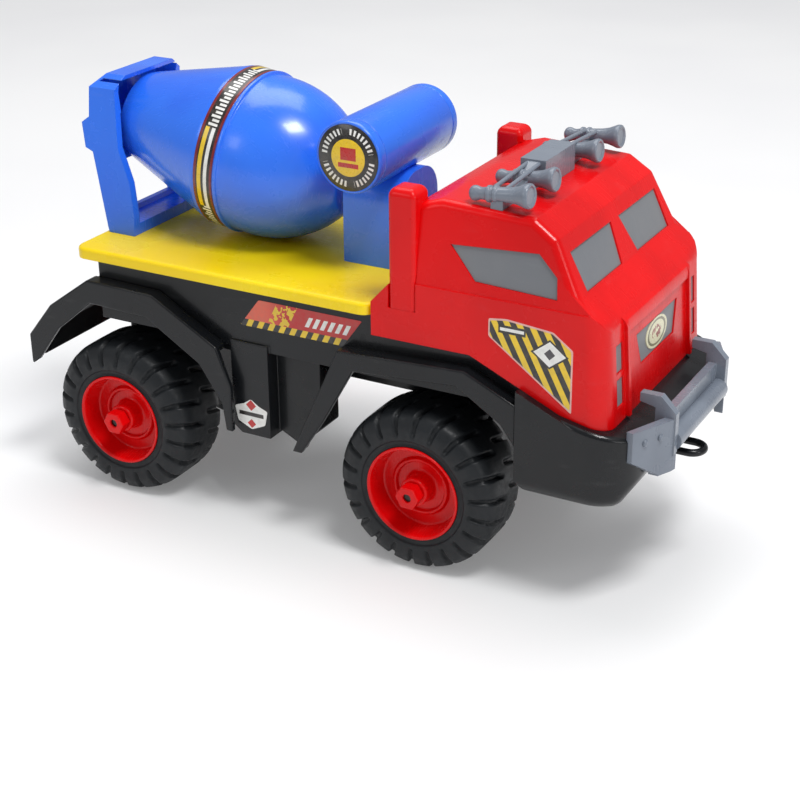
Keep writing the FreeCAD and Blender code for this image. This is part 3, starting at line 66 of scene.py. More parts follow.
class Graph:
    """Short calls for building a material's nodes."""

    def __init__(self, name):
        self.material = bpy.data.materials.new(name)
        self.material.use_nodes = True
        self.tree = self.material.node_tree
        self.shader = self.tree.nodes["Principled BSDF"]
        place = self.node("ShaderNodeTexCoord")
        self.place = place.outputs["Object"]
        split = self.node("ShaderNodeSeparateXYZ")
        self.link(self.place, split.inputs[0])
        self.x, self.y, self.z = split.outputs

    def node(self, kind):
        return self.tree.nodes.new(kind)

    def link(self, start, end):
        self.tree.links.new(start, end)

    def feed(self, socket, value):
        if isinstance(value, bpy.types.NodeSocket):
            self.link(value, socket)
        else:
            socket.default_value = value

    def maths(self, operation, *values):
        node = self.node("ShaderNodeMath")
        node.operation = operation
        for socket, value in zip(node.inputs, values):
            self.feed(socket, value)
        return node.outputs[0]

    def inside(self, value, low, high):
        """1 where low < value < high, otherwise 0."""
        above = self.maths("GREATER_THAN", value, low)
        below = self.maths("LESS_THAN", value, high)
        return self.maths("MULTIPLY", above, below)

    def area(self, across, left, right, rise, low, high):
        """1 where left < across < right and low < rise < high, otherwise 0."""
        return self.maths("MULTIPLY", self.inside(across, left, right),
                          self.inside(rise, low, high))

    def distance(self, value, middle):
        return self.maths("ABSOLUTE", self.maths("SUBTRACT", value, middle))

    def from_axis(self):
        """Distance from the local Z axis."""
        return self.maths("SQRT", self.maths("ADD", self.maths("MULTIPLY", self.x, self.x),
                                             self.maths("MULTIPLY", self.y, self.y)))

    def turns(self):
        """Turn about the local Z axis, 0 to 1."""
        turn = self.maths("ADD", self.maths("ARCTAN2", self.y, self.x), math.pi)
        return self.maths("DIVIDE", turn, 2 * math.pi)

    def stripes(self, value, pitch, share):
        """1 on the first share of every pitch along value, otherwise 0."""
        turn = self.maths("FRACT", self.maths("DIVIDE", value, pitch))
        return self.maths("LESS_THAN", turn, share)

    def mix(self, factor, first, second):
        node = self.node("ShaderNodeMix")
        node.data_type = "RGBA"
        self.feed(node.inputs[MIX_FACTOR], factor)
        self.feed(node.inputs[MIX_FIRST], first)
        self.feed(node.inputs[MIX_SECOND], second)
        return node.outputs[MIX_RESULT]

    def noise(self, scale, detail, stretch=(1, 1, 1)):
        """Noise with a scale per metre, finer along an axis with a larger stretch."""
        mapping = self.node("ShaderNodeMapping")
        mapping.inputs["Scale"].default_value = stretch
        self.link(self.place, mapping.inputs["Vector"])
        node = self.node("ShaderNodeTexNoise")
        node.inputs["Scale"].default_value = scale
        node.inputs["Detail"].default_value = detail
        self.link(mapping.outputs[0], node.inputs["Vector"])
        return node.outputs[0]

    def ramp(self, value, low, high, out_low, out_high):
        """Value from low..high spread smoothly to out_low..out_high."""
        node = self.node("ShaderNodeMapRange")
        node.interpolation_type = "SMOOTHSTEP"
        for socket, number in zip(node.inputs, (value, low, high, out_low, out_high)):
            self.feed(socket, number)
        return node.outputs[0]

    def bump(self, height, strength, distance, edge=0.0):
        """Bump from a height, over edges that are softened by the edge radius in metres."""
        node = self.node("ShaderNodeBump")
        node.inputs["Strength"].default_value = strength
        node.inputs["Distance"].default_value = distance
        self.feed(node.inputs["Height"], height)
        if edge:
            soft = self.node("ShaderNodeBevel")
            soft.samples = EDGE_SAMPLES
            soft.inputs["Radius"].default_value = edge
            self.link(soft.outputs[0], node.inputs["Normal"])
        self.link(node.outputs[0], self.shader.inputs["Normal"])


def colour(red, green, blue):
    """A shader colour from a screen colour of 0 to 255."""
    def linear(channel):
        part = channel / 255
        return part / 12.92 if part <= 0.04045 else ((part + 0.055) / 1.055) ** 2.4
    return (linear(red), linear(green), linear(blue), 1.0)


RED = colour(226, 7, 11)
DEEP_RED = colour(196, 2, 6)
BLUE = colour(43, 118, 246)
DEEP_BLUE = colour(32, 92, 224)
YELLOW = colour(252, 222, 4)
DEEP_YELLOW = colour(244, 204, 0)
BLACK = colour(20, 22, 25)
SOOT = colour(11, 12, 14)
GREY = colour(124, 132, 144)
DEEP_GREY = colour(98, 105, 117)
WHITE = colour(236, 236, 232)
PRINT_BLACK = colour(22, 20, 20)
PRINT_RED = colour(190, 20, 18)
PRINT_YELLOW = colour(238, 200, 26)
FLAME_ORANGE = colour(226, 96, 70)
BELT_EDGE_RED = colour(120, 12, 22)
INK_BLOTCH = colour(120, 112, 100)
BADGE_CREAM = colour(226, 222, 186)
BADGE_OLIVE = colour(120, 116, 84)
BADGE_RUST = colour(150, 62, 46)
DOT_GREY = colour(60, 60, 66)
FILM_EDGE_PINK = colour(228, 178, 170)
TYRE_BLACK = colour(24, 27, 30)
TYRE_DUST = colour(36, 39, 42)
ROD_DARK = colour(46, 44, 44)
ROD_LIGHT = colour(74, 72, 70)
INSERT_GREY = colour(124, 126, 129)
DEEP_INSERT_GREY = colour(110, 114, 120)
PAPER = colour(224, 224, 225)
PALE_PAPER = colour(229, 229, 229)


def moulded_plastic(name, light, deep, rough, shine, grain, edge=0.5):
    """Injection-moulded plastic: soft flow shading, fine grain, handling marks and soft edges."""
    g = Graph(name)
    flow = g.noise(13, 5, (1, 2, 0.6))
    cloud = g.ramp(flow, 0.36, 0.66, 0.0, 0.6)
    shade = g.mix(cloud, light, deep)
    rubbed = g.ramp(g.noise(60, 7, (1, 1, 3)), 0.60, 0.76, 0.0, 0.05)
    pale = tuple(0.7 * part + 0.18 for part in light[:3]) + (1.0,)
    g.link(g.mix(rubbed, shade, pale), g.shader.inputs["Base Color"])
    scuff = g.ramp(g.noise(130, 8, (1, 7, 1)), 0.58, 0.74, 0.0, 0.14)
    uneven = g.ramp(g.noise(35, 4), 0.3, 0.7, rough - 0.04, rough + 0.05)
    g.link(g.maths("ADD", uneven, scuff), g.shader.inputs["Roughness"])
    g.shader.inputs["Specular IOR Level"].default_value = shine
    g.shader.inputs["Coat Weight"].default_value = 0.08 + 0.2 * shine
    g.shader.inputs["Coat Roughness"].default_value = 0.07
    height = g.maths("ADD", g.maths("MULTIPLY", g.noise(1400, 2), 0.35),
                     g.maths("MULTIPLY", g.noise(42, 3), 1.6))
    g.bump(height, grain, 0.00012, edge * MM)
    return g.material


def flat_print(name, rough):
    """A graph for a printed film: its colour is filled in by the label's own function."""
    g = Graph(name)
    fine = g.noise(900, 2)
    g.link(g.ramp(fine, 0.3, 0.7, rough - 0.04, rough + 0.08), g.shader.inputs["Roughness"])
    g.shader.inputs["Coat Weight"].default_value = 0.35
    g.shader.inputs["Coat Roughness"].default_value = 0.1
    g.bump(g.noise(160, 3), 0.10, 0.0001)
    return g


def aged(g, tint):
    """Send a print's colour to the shader with faint ink variation."""
    blotch = g.ramp(g.noise(260, 4), 0.35, 0.7, 0.0, 0.16)
    g.link(g.mix(blotch, tint, INK_BLOTCH), g.shader.inputs["Base Color"])
    return g.material


def tyre_plastic():
    """Matt black tyre: dusty bloom and a fine pebble grain."""
    g = Graph("tyre_black")
    dust = g.ramp(g.noise(48, 5), 0.42, 0.72, 0.0, 0.5)
    g.link(g.mix(dust, TYRE_BLACK, TYRE_DUST), g.shader.inputs["Base Color"])
    g.link(g.ramp(g.noise(300, 3), 0.3, 0.7, 0.40, 0.56), g.shader.inputs["Roughness"])
    g.shader.inputs["Specular IOR Level"].default_value = 0.32
    height = g.maths("ADD", g.noise(1300, 2), g.maths("MULTIPLY", g.noise(240, 2), 0.8))
    g.bump(height, 0.28, 0.0002)
    return g.material


def drawn_steel():
    """Dark steel rod: fine lines along it and a few dull patches."""
    g = Graph("steel_rod")
    lines = g.noise(900, 2, (1, 0.02, 1))
    g.link(g.mix(lines, ROD_DARK, ROD_LIGHT), g.shader.inputs["Base Color"])
    g.link(g.ramp(g.noise(120, 3), 0.3, 0.7, 0.22, 0.4), g.shader.inputs["Roughness"])
    g.shader.inputs["Metallic"].default_value = 1.0
    g.bump(lines, 0.12, 0.0001)
    return g.material


# Each moulded plastic: name, main and deep colour, roughness, shine, grain and edge radius in mm.
MATERIALS = {
    "black_plastic": moulded_plastic("black_moulding", BLACK, SOOT, 0.28, 0.28, 0.22, 0.6),
    "red_plastic": moulded_plastic("red_moulding", RED, DEEP_RED, 0.26, 0.20, 0.16, 0.8),
    "blue_plastic": moulded_plastic("blue_moulding", BLUE, DEEP_BLUE, 0.25, 0.62, 0.14, 0.7),
    "yellow_plastic": moulded_plastic("yellow_moulding", YELLOW, DEEP_YELLOW, 0.28, 0.30, 0.14),
    "silver_plastic": moulded_plastic("silver_moulding", GREY, DEEP_GREY, 0.27, 0.45, 0.2),
    "grey_insert": moulded_plastic("grey_insert_film", INSERT_GREY, DEEP_INSERT_GREY,
                                   0.42, 0.25, 0.25, 0.2),
    "tyre": tyre_plastic(),
    "steel": drawn_steel(),
}


# ------------------------------------------------------------------ building pieces

WELD = 0.004 * MM
FLAT_ANGLE = math.radians(0.4)
ROUNDED_ANGLE = math.radians(28)
ROUNDING_SEGMENTS = 3


def recoat(node):
    """Give a CAD node that is shown as it is the material of its slot."""
    data = frame["nodes"][node].data
    data.materials.clear()
    data.materials.append(MATERIALS[SLOT_OF[node]])


def finish_piece(piece, material, body, nodes=()):
    """Give a new piece its material and body, and hide the CAD nodes that it stands for."""
    piece.data.materials.clear()
    piece.data.materials.append(material)
    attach(piece, body)
    if nodes:
        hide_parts(*nodes)


def coat(piece, slot, body, nodes=()):
    """Finish a piece in the material that its slot is named for."""
    finish_piece(piece, MATERIALS[slot], body, nodes)


def from_bmesh(mesh, name, matrix=Matrix.Identity(4)):
    """A smooth-shaded object in the scene from a bmesh, which is freed."""
    data = bpy.data.meshes.new(name)
    mesh.to_mesh(data)
    mesh.free()
    data.shade_smooth()
    piece = bpy.data.objects.new(name, data)
    bpy.context.scene.collection.objects.link(piece)
    piece.matrix_world = matrix
    return piece


def moulded(node, width):
    """A copy of a CAD node with clean flat faces and edges rounded by the width in mm."""
    mesh = bmesh.new()
    mesh.from_mesh(frame["nodes"][node].data)
    bmesh.ops.remove_doubles(mesh, verts=mesh.verts, dist=WELD)
    bmesh.ops.dissolve_limit(mesh, angle_limit=FLAT_ANGLE, verts=mesh.verts, edges=mesh.edges)
    many = [face for face in mesh.faces if len(face.verts) > 4]
    bmesh.ops.triangulate(mesh, faces=many, ngon_method="BEAUTY")
    piece = from_bmesh(mesh, node + "_moulding")
    bevel = piece.modifiers.new("rounding", "BEVEL")
    bevel.width = width * MM
    bevel.segments = ROUNDING_SEGMENTS
    bevel.limit_method = "ANGLE"
    bevel.angle_limit = ROUNDED_ANGLE
    bevel.use_clamp_overlap = True
    bevel.miter_outer = "MITER_ARC"
    normals = piece.modifiers.new("normals", "WEIGHTED_NORMAL")
    normals.keep_sharp = True
    coat(piece, SLOT_OF[node], BODY_OF[node], [node])


MOST_OF_HALF = 0.45
ON_AXIS = 1e-7


def scaled(outline):
    """Points given in mm, in metres."""
    return [(along * MM, out * MM) for along, out in outline]


def softened(outline, radius, steps, closed=True):
    """An outline of (along, out) points with each corner turned into a small curve."""
    count = len(outline)
    result = []
    for index, corner in enumerate(outline):
        if not closed and index in (0, count - 1):
            result.append(Vector(corner))
            continue
        here = Vector(corner)
        before = Vector(outline[index - 1])
        after = Vector(outline[(index + 1) % count])
        reach = min(radius, MOST_OF_HALF * (before - here).length,
                    MOST_OF_HALF * (after - here).length)
        start = here + (before - here).normalized() * reach
        end = here + (after - here).normalized() * reach
        for step in range(steps + 1):
            part = step / steps
            result.append(start * (1 - part) ** 2 + here * (2 * part * (1 - part))
                          + end * part ** 2)
    return result


def turned(name, outline, matrix, segments, closed=True):
    """Turn an outline of (along, out) points about the local Z axis; out 0 gives one point."""
    mesh = bmesh.new()
    rings = []
    for along, out in outline:
        if out < ON_AXIS:
            rings.append([mesh.verts.new((0, 0, along))])
            continue
        rings.append([
            mesh.verts.new((out * math.cos(turn), out * math.sin(turn), along))
            for turn in (2 * math.pi * step / segments for step in range(segments))
        ])
    pairs = list(zip(rings, rings[1:]))
    if closed:
        pairs.append((rings[-1], rings[0]))
    for low, high in pairs:
        for step in range(segments):
            after = (step + 1) % segments
            corners = [low[step % len(low)], low[after % len(low)],
                       high[after % len(high)], high[step % len(high)]]
            unique = list(dict.fromkeys(corners))
            if len(unique) > 2:
                mesh.faces.new(unique)
    bmesh.ops.recalc_face_normals(mesh, faces=mesh.faces)
    return from_bmesh(mesh, name, matrix)


def axis_frame(origin, axis):
    """A matrix whose local Z runs along the axis from the origin, with its X kept level."""
    along = Vector(axis).normalized()
    level = Vector((0, 1, 0)) if abs(along.y) < 0.9 else Vector((1, 0, 0))
    side = level.cross(along).normalized()
    up = along.cross(side)
    turn = Matrix((side, up, along)).transposed().to_4x4()
    return Matrix.Translation(Vector(origin)) @ turn


def centre_of(node):
    low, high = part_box(node)
    return (Vector(low) + Vector(high)) / 2


# ------------------------------------------------------------------ wheels

TYRE_RADIUS = 50 * MM
TYRE_HALF = 23 * MM
LUGS = 22
STEPS_PER_LUG = 18
TREAD_STEP = 1.3 * MM
SHOULDER_ROUNDING = 2.6 * MM
RIM_ROUNDING = 0.9 * MM
RIM_SEGMENTS = 144
NUT_ROUNDING = 0.7
# Grooves between the lugs: depth, slant as a share of the pitch, half width at the middle of the
# tread and its growth to the edge, soft sides, and where the grooves start and fade out.
GROOVE_DEPTH = 3 * MM
GROOVE_SLANT = 0.42
GROOVE_HALF, GROOVE_GROWTH = 1.15, 0.55
GROOVE_SIDE_LOW, GROOVE_SIDE_HIGH = 0.4 * MM, 0.5 * MM
GROOVE_START = (2 * MM, 4.2 * MM)
GROOVE_FADE = (35 * MM, 39 * MM)
SHOULDER = (14 * MM, 22.5 * MM)
# (along, out) in mm, from the middle of the tread to the bead.
TYRE_CORNERS = [
    (0, 50), (13.5, 49.9), (19.5, 47.6), (22.4, 42), (23, 37), (22.7, 33.2), (21.6, 32.6),
    (21.4, 30.6), (22.2, 29.2),
]
# (along, out) in mm: flange, sloping wall, dished face with its ring, hub, then the inside.
RIM_CORNERS = [
    (23, 29), (23.2, 28.3), (22.8, 27.4), (21.6, 26.8), (19.5, 26.5), (10.4, 25.2), (10, 24.2),
    (10, 18), (12.5, 17.4), (12.5, 15.7), (10, 15.2), (10, 10.2), (11, 9), (19.6, 8.6),
    (20.5, 7.8), (20.5, 2.6), (-22.8, 2.6), (-22.8, 8.6), (7, 8.6), (7, 26.4), (-23, 26.4),
    (-23, 29),
]


def smooth_step(value, low, high):
    """0 below low, 1 above high and a smooth rise between them."""
    part = min(1.0, max(0.0, (value - low) / (high - low)))
    return part * part * (3 - 2 * part)


def tyre_outline():
    """Half section of the tyre's outside, from the middle of the tread to the bead."""
    points = softened(scaled(TYRE_CORNERS), SHOULDER_ROUNDING, 4, closed=False)
    fine = []
    for start, end in zip(points, points[1:]):
        parts = max(1, round((end - start).length / TREAD_STEP))
        fine += [start.lerp(end, step / parts) for step in range(parts)]
    return fine + [points[-1]]


def groove_depth(along, out, turn, side):
    """How deep the lug grooves are at a point: slanted slots from near the middle outward."""
    pitch = 2 * math.pi / LUGS
    reach = abs(along) / TYRE_HALF
    slant = GROOVE_SLANT * pitch * reach * side
    phase = ((turn - slant) / pitch + (0.5 if side > 0 else 0.0)) % 1.0
    gap = abs(phase - 0.5) * pitch * TYRE_RADIUS
    half = (GROOVE_HALF + GROOVE_GROWTH * reach) * MM
    across = 1 - smooth_step(gap, half - GROOVE_SIDE_LOW, half + GROOVE_SIDE_HIGH)
    inner = smooth_step(abs(along), *GROOVE_START)
    outer = smooth_step(out, *GROOVE_FADE)
    return GROOVE_DEPTH * across * inner * outer


def tyre(node, body):
    """Tyre with a rounded shoulder, staggered slanted lugs and a stepped bead."""
    half = tyre_outline()
    section = [(along, out, 1) for along, out in half]
    section = [(-along, out, -1) for along, out in reversed(half[1:])] + section
    segments = LUGS * STEPS_PER_LUG
    mesh = bmesh.new()
    rings = []
    for along, out, side in section:
        ring = []
        lean = smooth_step(abs(along), *SHOULDER)
        for step in range(segments):
            turn = 2 * math.pi * step / segments
            depth = groove_depth(along, out, turn, side)
            radius = out - depth * (1 - 0.7 * lean)
            shift = along - side * depth * 0.75 * lean
            ring.append(mesh.verts.new((radius * math.cos(turn), radius * math.sin(turn), shift)))
        rings.append(ring)
    pairs = list(zip(rings, rings[1:])) + [(rings[-1], rings[0])]
    for low, high in pairs:
        for step in range(segments):
            after = (step + 1) % segments
            mesh.faces.new((low[step], low[after], high[after], high[step]))
    bmesh.ops.recalc_face_normals(mesh, faces=mesh.faces)
    piece = from_bmesh(mesh, node + "_tread", axis_frame(centre_of(node), (0, 1, 0)))
    coat(piece, "tyre", body, [node])


def rim(node, body, side):
    """Red dished rim: rolled flange, sloping wall, raised ring and a hub."""
    smooth = softened(scaled(RIM_CORNERS), RIM_ROUNDING, 4)
    piece = turned(node + "_dish", smooth, axis_frame(centre_of(node), (0, side, 0)),
                   RIM_SEGMENTS)
    coat(piece, "red_plastic", body, [node])


def wheels():
    for end in AXLES:
        for name, side in SIDES:
            body = "wheel_%s_%s" % (end, name)
            tyre("tyre_%s_%s" % (end, name), body)
            rim("rim_%s_%s" % (end, name), body, side)
        recoat(end + "_axle")
    moulded("wheel_nuts", NUT_ROUNDING)


# ------------------------------------------------------------------ mixer

def drum_frame_matrix():
    """The drum's own axes: local Z runs along the axis that it turns on."""
    joint = [j for j in frame["joints"] if j["name"] == "drum_spin"][0]
    return axis_frame(joint["pos_m"], joint["axis"])


DRUM_SEGMENTS = 192
BELT_SEGMENTS = 256
# (along, out) in mm about the drum's axis.
REAR_CONE = [
    (-71, 4.02), (-71, 26.3), (-66, 28.2), (-5, 47.9), (-1.5, 49.2), (14, 49.2), (14, 47.2),
    (0, 47.2), (-65, 26), (-65, 4.02),
]
BOWL_LIP = [(14.05, 46.5), (14.05, 50.1), (16.2, 50.1), (16.4, 48.5)]
BOWL_END = [(79.6, 19.6), (80.5, 18.4), (80.5, 4.02), (78.4, 4.02), (78.4, 17.9)]
# The bowl's two arcs: (along, out) of their centre, radii in mm and sweep in degrees.
BOWL_CENTRE = (23.66, -17.5)
BOWL_OUTSIDE, BOWL_INSIDE = 66, 64
BOWL_SWEEP = 45.2
BOWL_STEPS = 32
# (along, out) in mm of the belt's film.
BELT = [(0.5, 49.25), (0.5, 49.6), (13.5, 49.6), (13.5, 49.25)]


def bowl_arc(radius, steps):
    """Points in mm along the bowl's arc, at the given steps of its sweep."""
    points = []
    for step in steps:
        turn = math.radians(BOWL_SWEEP * step / BOWL_STEPS)
        points.append((BOWL_CENTRE[0] + radius * math.sin(turn),
                       radius * math.cos(turn) + BOWL_CENTRE[1]))
    return points


def drum():
    """Rear cone and front bowl, thin shells that meet at the belt, and the belt's film."""
    place = drum_frame_matrix()
    smooth = softened(scaled(REAR_CONE), 1.6 * MM, 5)
    piece = turned("drum_rear_cone", smooth, place, DRUM_SEGMENTS)
    coat(piece, "blue_plastic", "drum", ["drum_rear_shell"])
    front = BOWL_LIP + bowl_arc(BOWL_OUTSIDE, range(1, BOWL_STEPS + 1)) + BOWL_END
    front += bowl_arc(BOWL_INSIDE, range(BOWL_STEPS - 2, 0, -1))
    smooth = softened(scaled(front), 0.7 * MM, 3)
    piece = turned("drum_front_bowl", smooth, place, DRUM_SEGMENTS)
    coat(piece, "blue_plastic", "drum", ["drum_front_shell"])
    smooth = softened(scaled(BELT), 0.12 * MM, 2)
    piece = turned("drum_belt_label", smooth, place, BELT_SEGMENTS)
    finish_piece(piece, belt_print(), "drum", ["drum_band"])
    recoat("drum_rear_pin")
    recoat("drum_front_pin")


def belt_print():
    """Belt film: dark red edges, then panels of plain bars and panels of long stripes."""
    g = flat_print("belt_print", 0.3)
    turns = g.turns()
    panel = g.stripes(g.maths("ADD", turns, 1 / 6), 1 / 3, 0.5)
    edge = g.maths("MAXIMUM", g.maths("LESS_THAN", g.z, 2.3 * MM),
                   g.maths("GREATER_THAN", g.z, 11.9 * MM))
    tall = g.stripes(turns, 1 / 60, 0.5)
    bars = g.maths("MULTIPLY", g.stripes(turns, 1 / 120, 0.6),
                   g.inside(g.z, g.maths("ADD", 4.0 * MM, g.maths("MULTIPLY", tall, 1.6 * MM)),
                            10.2 * MM))
    white_panel = g.mix(bars, PRINT_BLACK, WHITE)
    upper = g.inside(g.z, 3.2 * MM, 5.9 * MM)
    lower = g.inside(g.z, 7.6 * MM, 10.0 * MM)
    long_stripes = g.mix(lower, g.mix(upper, PRINT_BLACK, PRINT_YELLOW), WHITE)
    face = g.mix(panel, white_panel, long_stripes)
    return aged(g, g.mix(edge, face, BELT_EDGE_RED))


TANK_WALL = 2 * MM
TANK_SEGMENTS = 160
LABEL_INSET = 1.8 * MM
DISC_SEGMENTS = 128


def tank():
    """Water tank with rounded caps, a seam by each cap and a round label on each."""
    low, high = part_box("water_tank")
    middle = centre_of("water_tank")
    half = (high[1] - low[1]) / 2
    radius = (high[2] - low[2]) / 2
    inner_radius = radius - TANK_WALL
    outline = [(-half, radius), (half, radius), (half, inner_radius), (-half, inner_radius)]
    piece = turned("water_tank_tube", softened(outline, 0.5 * MM, 3),
                   axis_frame(middle, (0, 1, 0)), TANK_SEGMENTS)
    coat(piece, "blue_plastic", "chassis", ["water_tank"])
    for name, side in SIDES:
        cap_low, cap_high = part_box("tank_cap_" + name)
        depth = cap_high[1] - cap_low[1]
        inner = Vector((middle.x, side * half, middle.z))
        cap = [
            (0.15 * MM, 0), (0.15 * MM, radius - 0.2 * MM), (0.9 * MM, radius),
            (depth - 1.8 * MM, radius), (depth - 0.5 * MM, radius - 0.5 * MM),
            (depth, radius - 1.2 * MM), (depth - 0.4 * MM, radius - 1.6 * MM),
            (depth - 0.4 * MM, 0),
        ]
        piece = turned("tank_cap_disc_" + name, softened(cap, 0.9 * MM, 5, closed=False),
                       axis_frame(inner, (0, side, 0)), TANK_SEGMENTS, closed=False)
        coat(piece, "blue_plastic", "chassis", ["tank_cap_" + name])
        face = inner + Vector((0, side * (depth - 0.38 * MM), 0))
        disc_radius = radius - LABEL_INSET
        disc = [(0, 0), (0, disc_radius), (0.16 * MM, disc_radius - 0.15 * MM), (0.2 * MM, 0)]
        piece = turned("tank_label_" + name, disc, axis_frame(face, (0, side, 0)),
                       DISC_SEGMENTS, closed=False)
        finish_piece(piece, tank_print(disc_radius), "chassis")


def tank_print(radius):
    """Round label: black ring with pale radial bars, yellow centre with two red blocks."""
    g = flat_print("tank_print", 0.3)
    out = g.from_axis()
    turns = g.turns()
    bars = g.maths("MULTIPLY", g.stripes(turns, 1 / 36, 0.5),
                   g.inside(out, 0.70 * radius, 0.88 * radius))
    gaps = g.maths("SUBTRACT", 1.0, g.stripes(turns, 1 / 4, 0.16))
    ring = g.mix(g.maths("MULTIPLY", bars, gaps), PRINT_BLACK, WHITE)
    line = g.inside(out, 0.56 * radius, 0.6 * radius)
    middle = g.maths("LESS_THAN", out, 0.6 * radius)
    up = g.maths("MULTIPLY", g.x, -1.0)
    upper = g.area(g.y, -0.26 * radius, 0.26 * radius, up, -0.08 * radius, 0.3 * radius)
    lower = g.area(g.y, -0.34 * radius, 0.34 * radius, up, -0.3 * radius, -0.16 * radius)
    centre = g.mix(g.maths("MAXIMUM", upper, lower), PRINT_YELLOW, PRINT_RED)
    centre = g.mix(line, centre, PRINT_BLACK)
    return aged(g, g.mix(middle, ring, centre))


# ------------------------------------------------------------------ labels

def plane_matrix(origin, right, up):
    """Local X along right and local Y along up; local Z points out of the surface."""
    x_axis = Vector(right).normalized()
    z_axis = x_axis.cross(Vector(up)).normalized()
    y_axis = z_axis.cross(x_axis)
    turn = Matrix((x_axis, y_axis, z_axis)).transposed().to_4x4()
    return Matrix.Translation(Vector(origin)) @ turn


# Outlines in mm: X towards the front of the truck or to its left, Y up.
TRAY_LABEL = [(-41, 0), (-27.5, 17.6), (41.5, 17.6), (28.7, 0)]
CAB_LABEL = [(0, 42.9), (0, 34.2), (47.5, 0.2), (47.2, 33.9), (36.2, 41.9), (9.4, 44.3)]
CAB_LABEL_EDGE = [
    (-0.9, 43.9), (-0.9, 33.8), (48.4, -1.8), (48.2, 34.4), (36.6, 42.9), (9.4, 45.3),
]
BOX_LABEL = [
    (-11.5, 4), (-9.5, -5.5), (0, -9.8), (9.5, -5.5), (11.5, 4), (5, 6.4), (0, 10), (-5, 6.4),
]
# Each label's origin in mm: towards the front, up, and out from the truck's middle.
TRAY_SPOT = (-14, 127, 70)
CAB_SPOT = (109.2, 120, 75)
BOX_SPOT = (-49, 70.5, 72)
BADGE_WIDE, BADGE_TALL, BADGE_POINTS = 16, 8.6, 32
CORNER_RADIUS = 1.2 * MM
FILM_LIFT, FILM_THICK = 0.02, 0.16
TOP_FILM_LIFT, TOP_FILM_THICK = 0.18, 0.1
BADGE_THICK = 0.5


def label(name, corners, place, material, lift=FILM_LIFT, thick=FILM_THICK):
    """A thin film with rounded corners, lying on the local XY plane."""
    points = softened(scaled(corners), CORNER_RADIUS, 4)
    mesh = bmesh.new()
    base = [mesh.verts.new((x, y, lift * MM)) for x, y in points]
    face = mesh.faces.new(base)
    raised = bmesh.ops.extrude_face_region(mesh, geom=[face])
    moved = [item for item in raised["geom"] if isinstance(item, bmesh.types.BMVert)]
    bmesh.ops.translate(mesh, verts=moved, vec=(0, 0, thick * MM))
    bmesh.ops.recalc_face_normals(mesh, faces=mesh.faces)
    piece = from_bmesh(mesh, name, place)
    for polygon in piece.data.polygons:
        polygon.use_smooth = False
    finish_piece(piece, material, "chassis")


def side_place(along, up, half, side):
    """A place on one side of the truck; local X runs to the right for someone facing it."""
    return plane_matrix((along * MM, side * half * MM, up * MM), (-side, 0, 0), (0, 0, 1))


def mirrored(corners, side):
    """The same outline on either side: X is counted towards the front of the truck."""
    flipped = [(-side * a, b) for a, b in corners]
    return flipped if side < 0 else flipped[::-1]


def tray_print(side):
    """Red strip: hazard blocks along its lower edge, a warm patch and slanted pale bars."""
    g = flat_print("tray_print_%d" % side, 0.32)
    ahead = g.maths("MULTIPLY", g.x, -side)
    slope = g.maths("SUBTRACT", ahead, g.maths("MULTIPLY", g.y, 0.5))
    hazard = g.mix(g.stripes(slope, 7.4 * MM, 0.5), PRINT_BLACK, PRINT_YELLOW)
    bars = g.maths("MULTIPLY", g.stripes(slope, 5 * MM, 0.55),
                   g.area(slope, 0.0, 30 * MM, g.y, 7 * MM, 13.2 * MM))
    red = g.mix(g.ramp(ahead, -26 * MM, -6 * MM, 1.0, 0.0), PRINT_RED, FLAME_ORANGE)
    flame = g.maths("MULTIPLY", g.inside(slope, -24 * MM, -10 * MM),
                    g.maths("GREATER_THAN", g.noise(260, 2), 0.5))
    face = g.mix(bars, g.mix(flame, red, PRINT_YELLOW), WHITE)
    low = g.maths("LESS_THAN", g.y, 4.4 * MM)
    return aged(g, g.mix(low, face, hazard))


def cab_print(side):
    """Black and yellow slanted bars, a pale badge with a dot, and a dark plate with a bar."""
    g = flat_print("cab_print_%d" % side, 0.32)
    ahead = g.maths("MULTIPLY", g.x, -side)
    slope = g.maths("ADD", ahead, g.maths("MULTIPLY", g.y, 0.52))
    face = g.mix(g.stripes(slope, 7.6 * MM, 0.5), PRINT_BLACK, PRINT_YELLOW)
    across = g.distance(ahead, 35 * MM)
    rise = g.distance(g.y, 30 * MM)
    diamond = g.maths("ADD", across, g.maths("MULTIPLY", rise, 1.3))
    face = g.mix(g.maths("LESS_THAN", diamond, 11 * MM), face, PRINT_BLACK)
    face = g.mix(g.maths("LESS_THAN", diamond, 9.4 * MM), face, WHITE)
    dot = g.maths("LESS_THAN", g.maths("ADD", across, rise), 3.2 * MM)
    face = g.mix(dot, face, DOT_GREY)
    plate = g.area(ahead, 5 * MM, 21 * MM, g.y, 37 * MM, 41.6 * MM)
    face = g.mix(plate, face, PRINT_BLACK)
    bar = g.area(ahead, 6 * MM, 20 * MM, g.y, 38.4 * MM, 40.2 * MM)
    return aged(g, g.mix(bar, face, WHITE))


def shield_print():
    """Pale shield with a dark band and a red diamond above and below it."""
    g = flat_print("shield_print", 0.34)
    across = g.maths("ABSOLUTE", g.x)
    band = g.maths("MULTIPLY", g.inside(g.y, -1.2 * MM, 1.4 * MM),
                   g.maths("LESS_THAN", across, 8.6 * MM))
    upper = g.maths("ADD", across, g.distance(g.y, 6 * MM))
    lower = g.maths("ADD", across, g.distance(g.y, -6 * MM))
    red = g.maths("MAXIMUM", g.maths("LESS_THAN", upper, 3.6 * MM),
                  g.maths("LESS_THAN", lower, 3 * MM))
    return aged(g, g.mix(red, g.mix(band, WHITE, PRINT_BLACK), PRINT_RED))


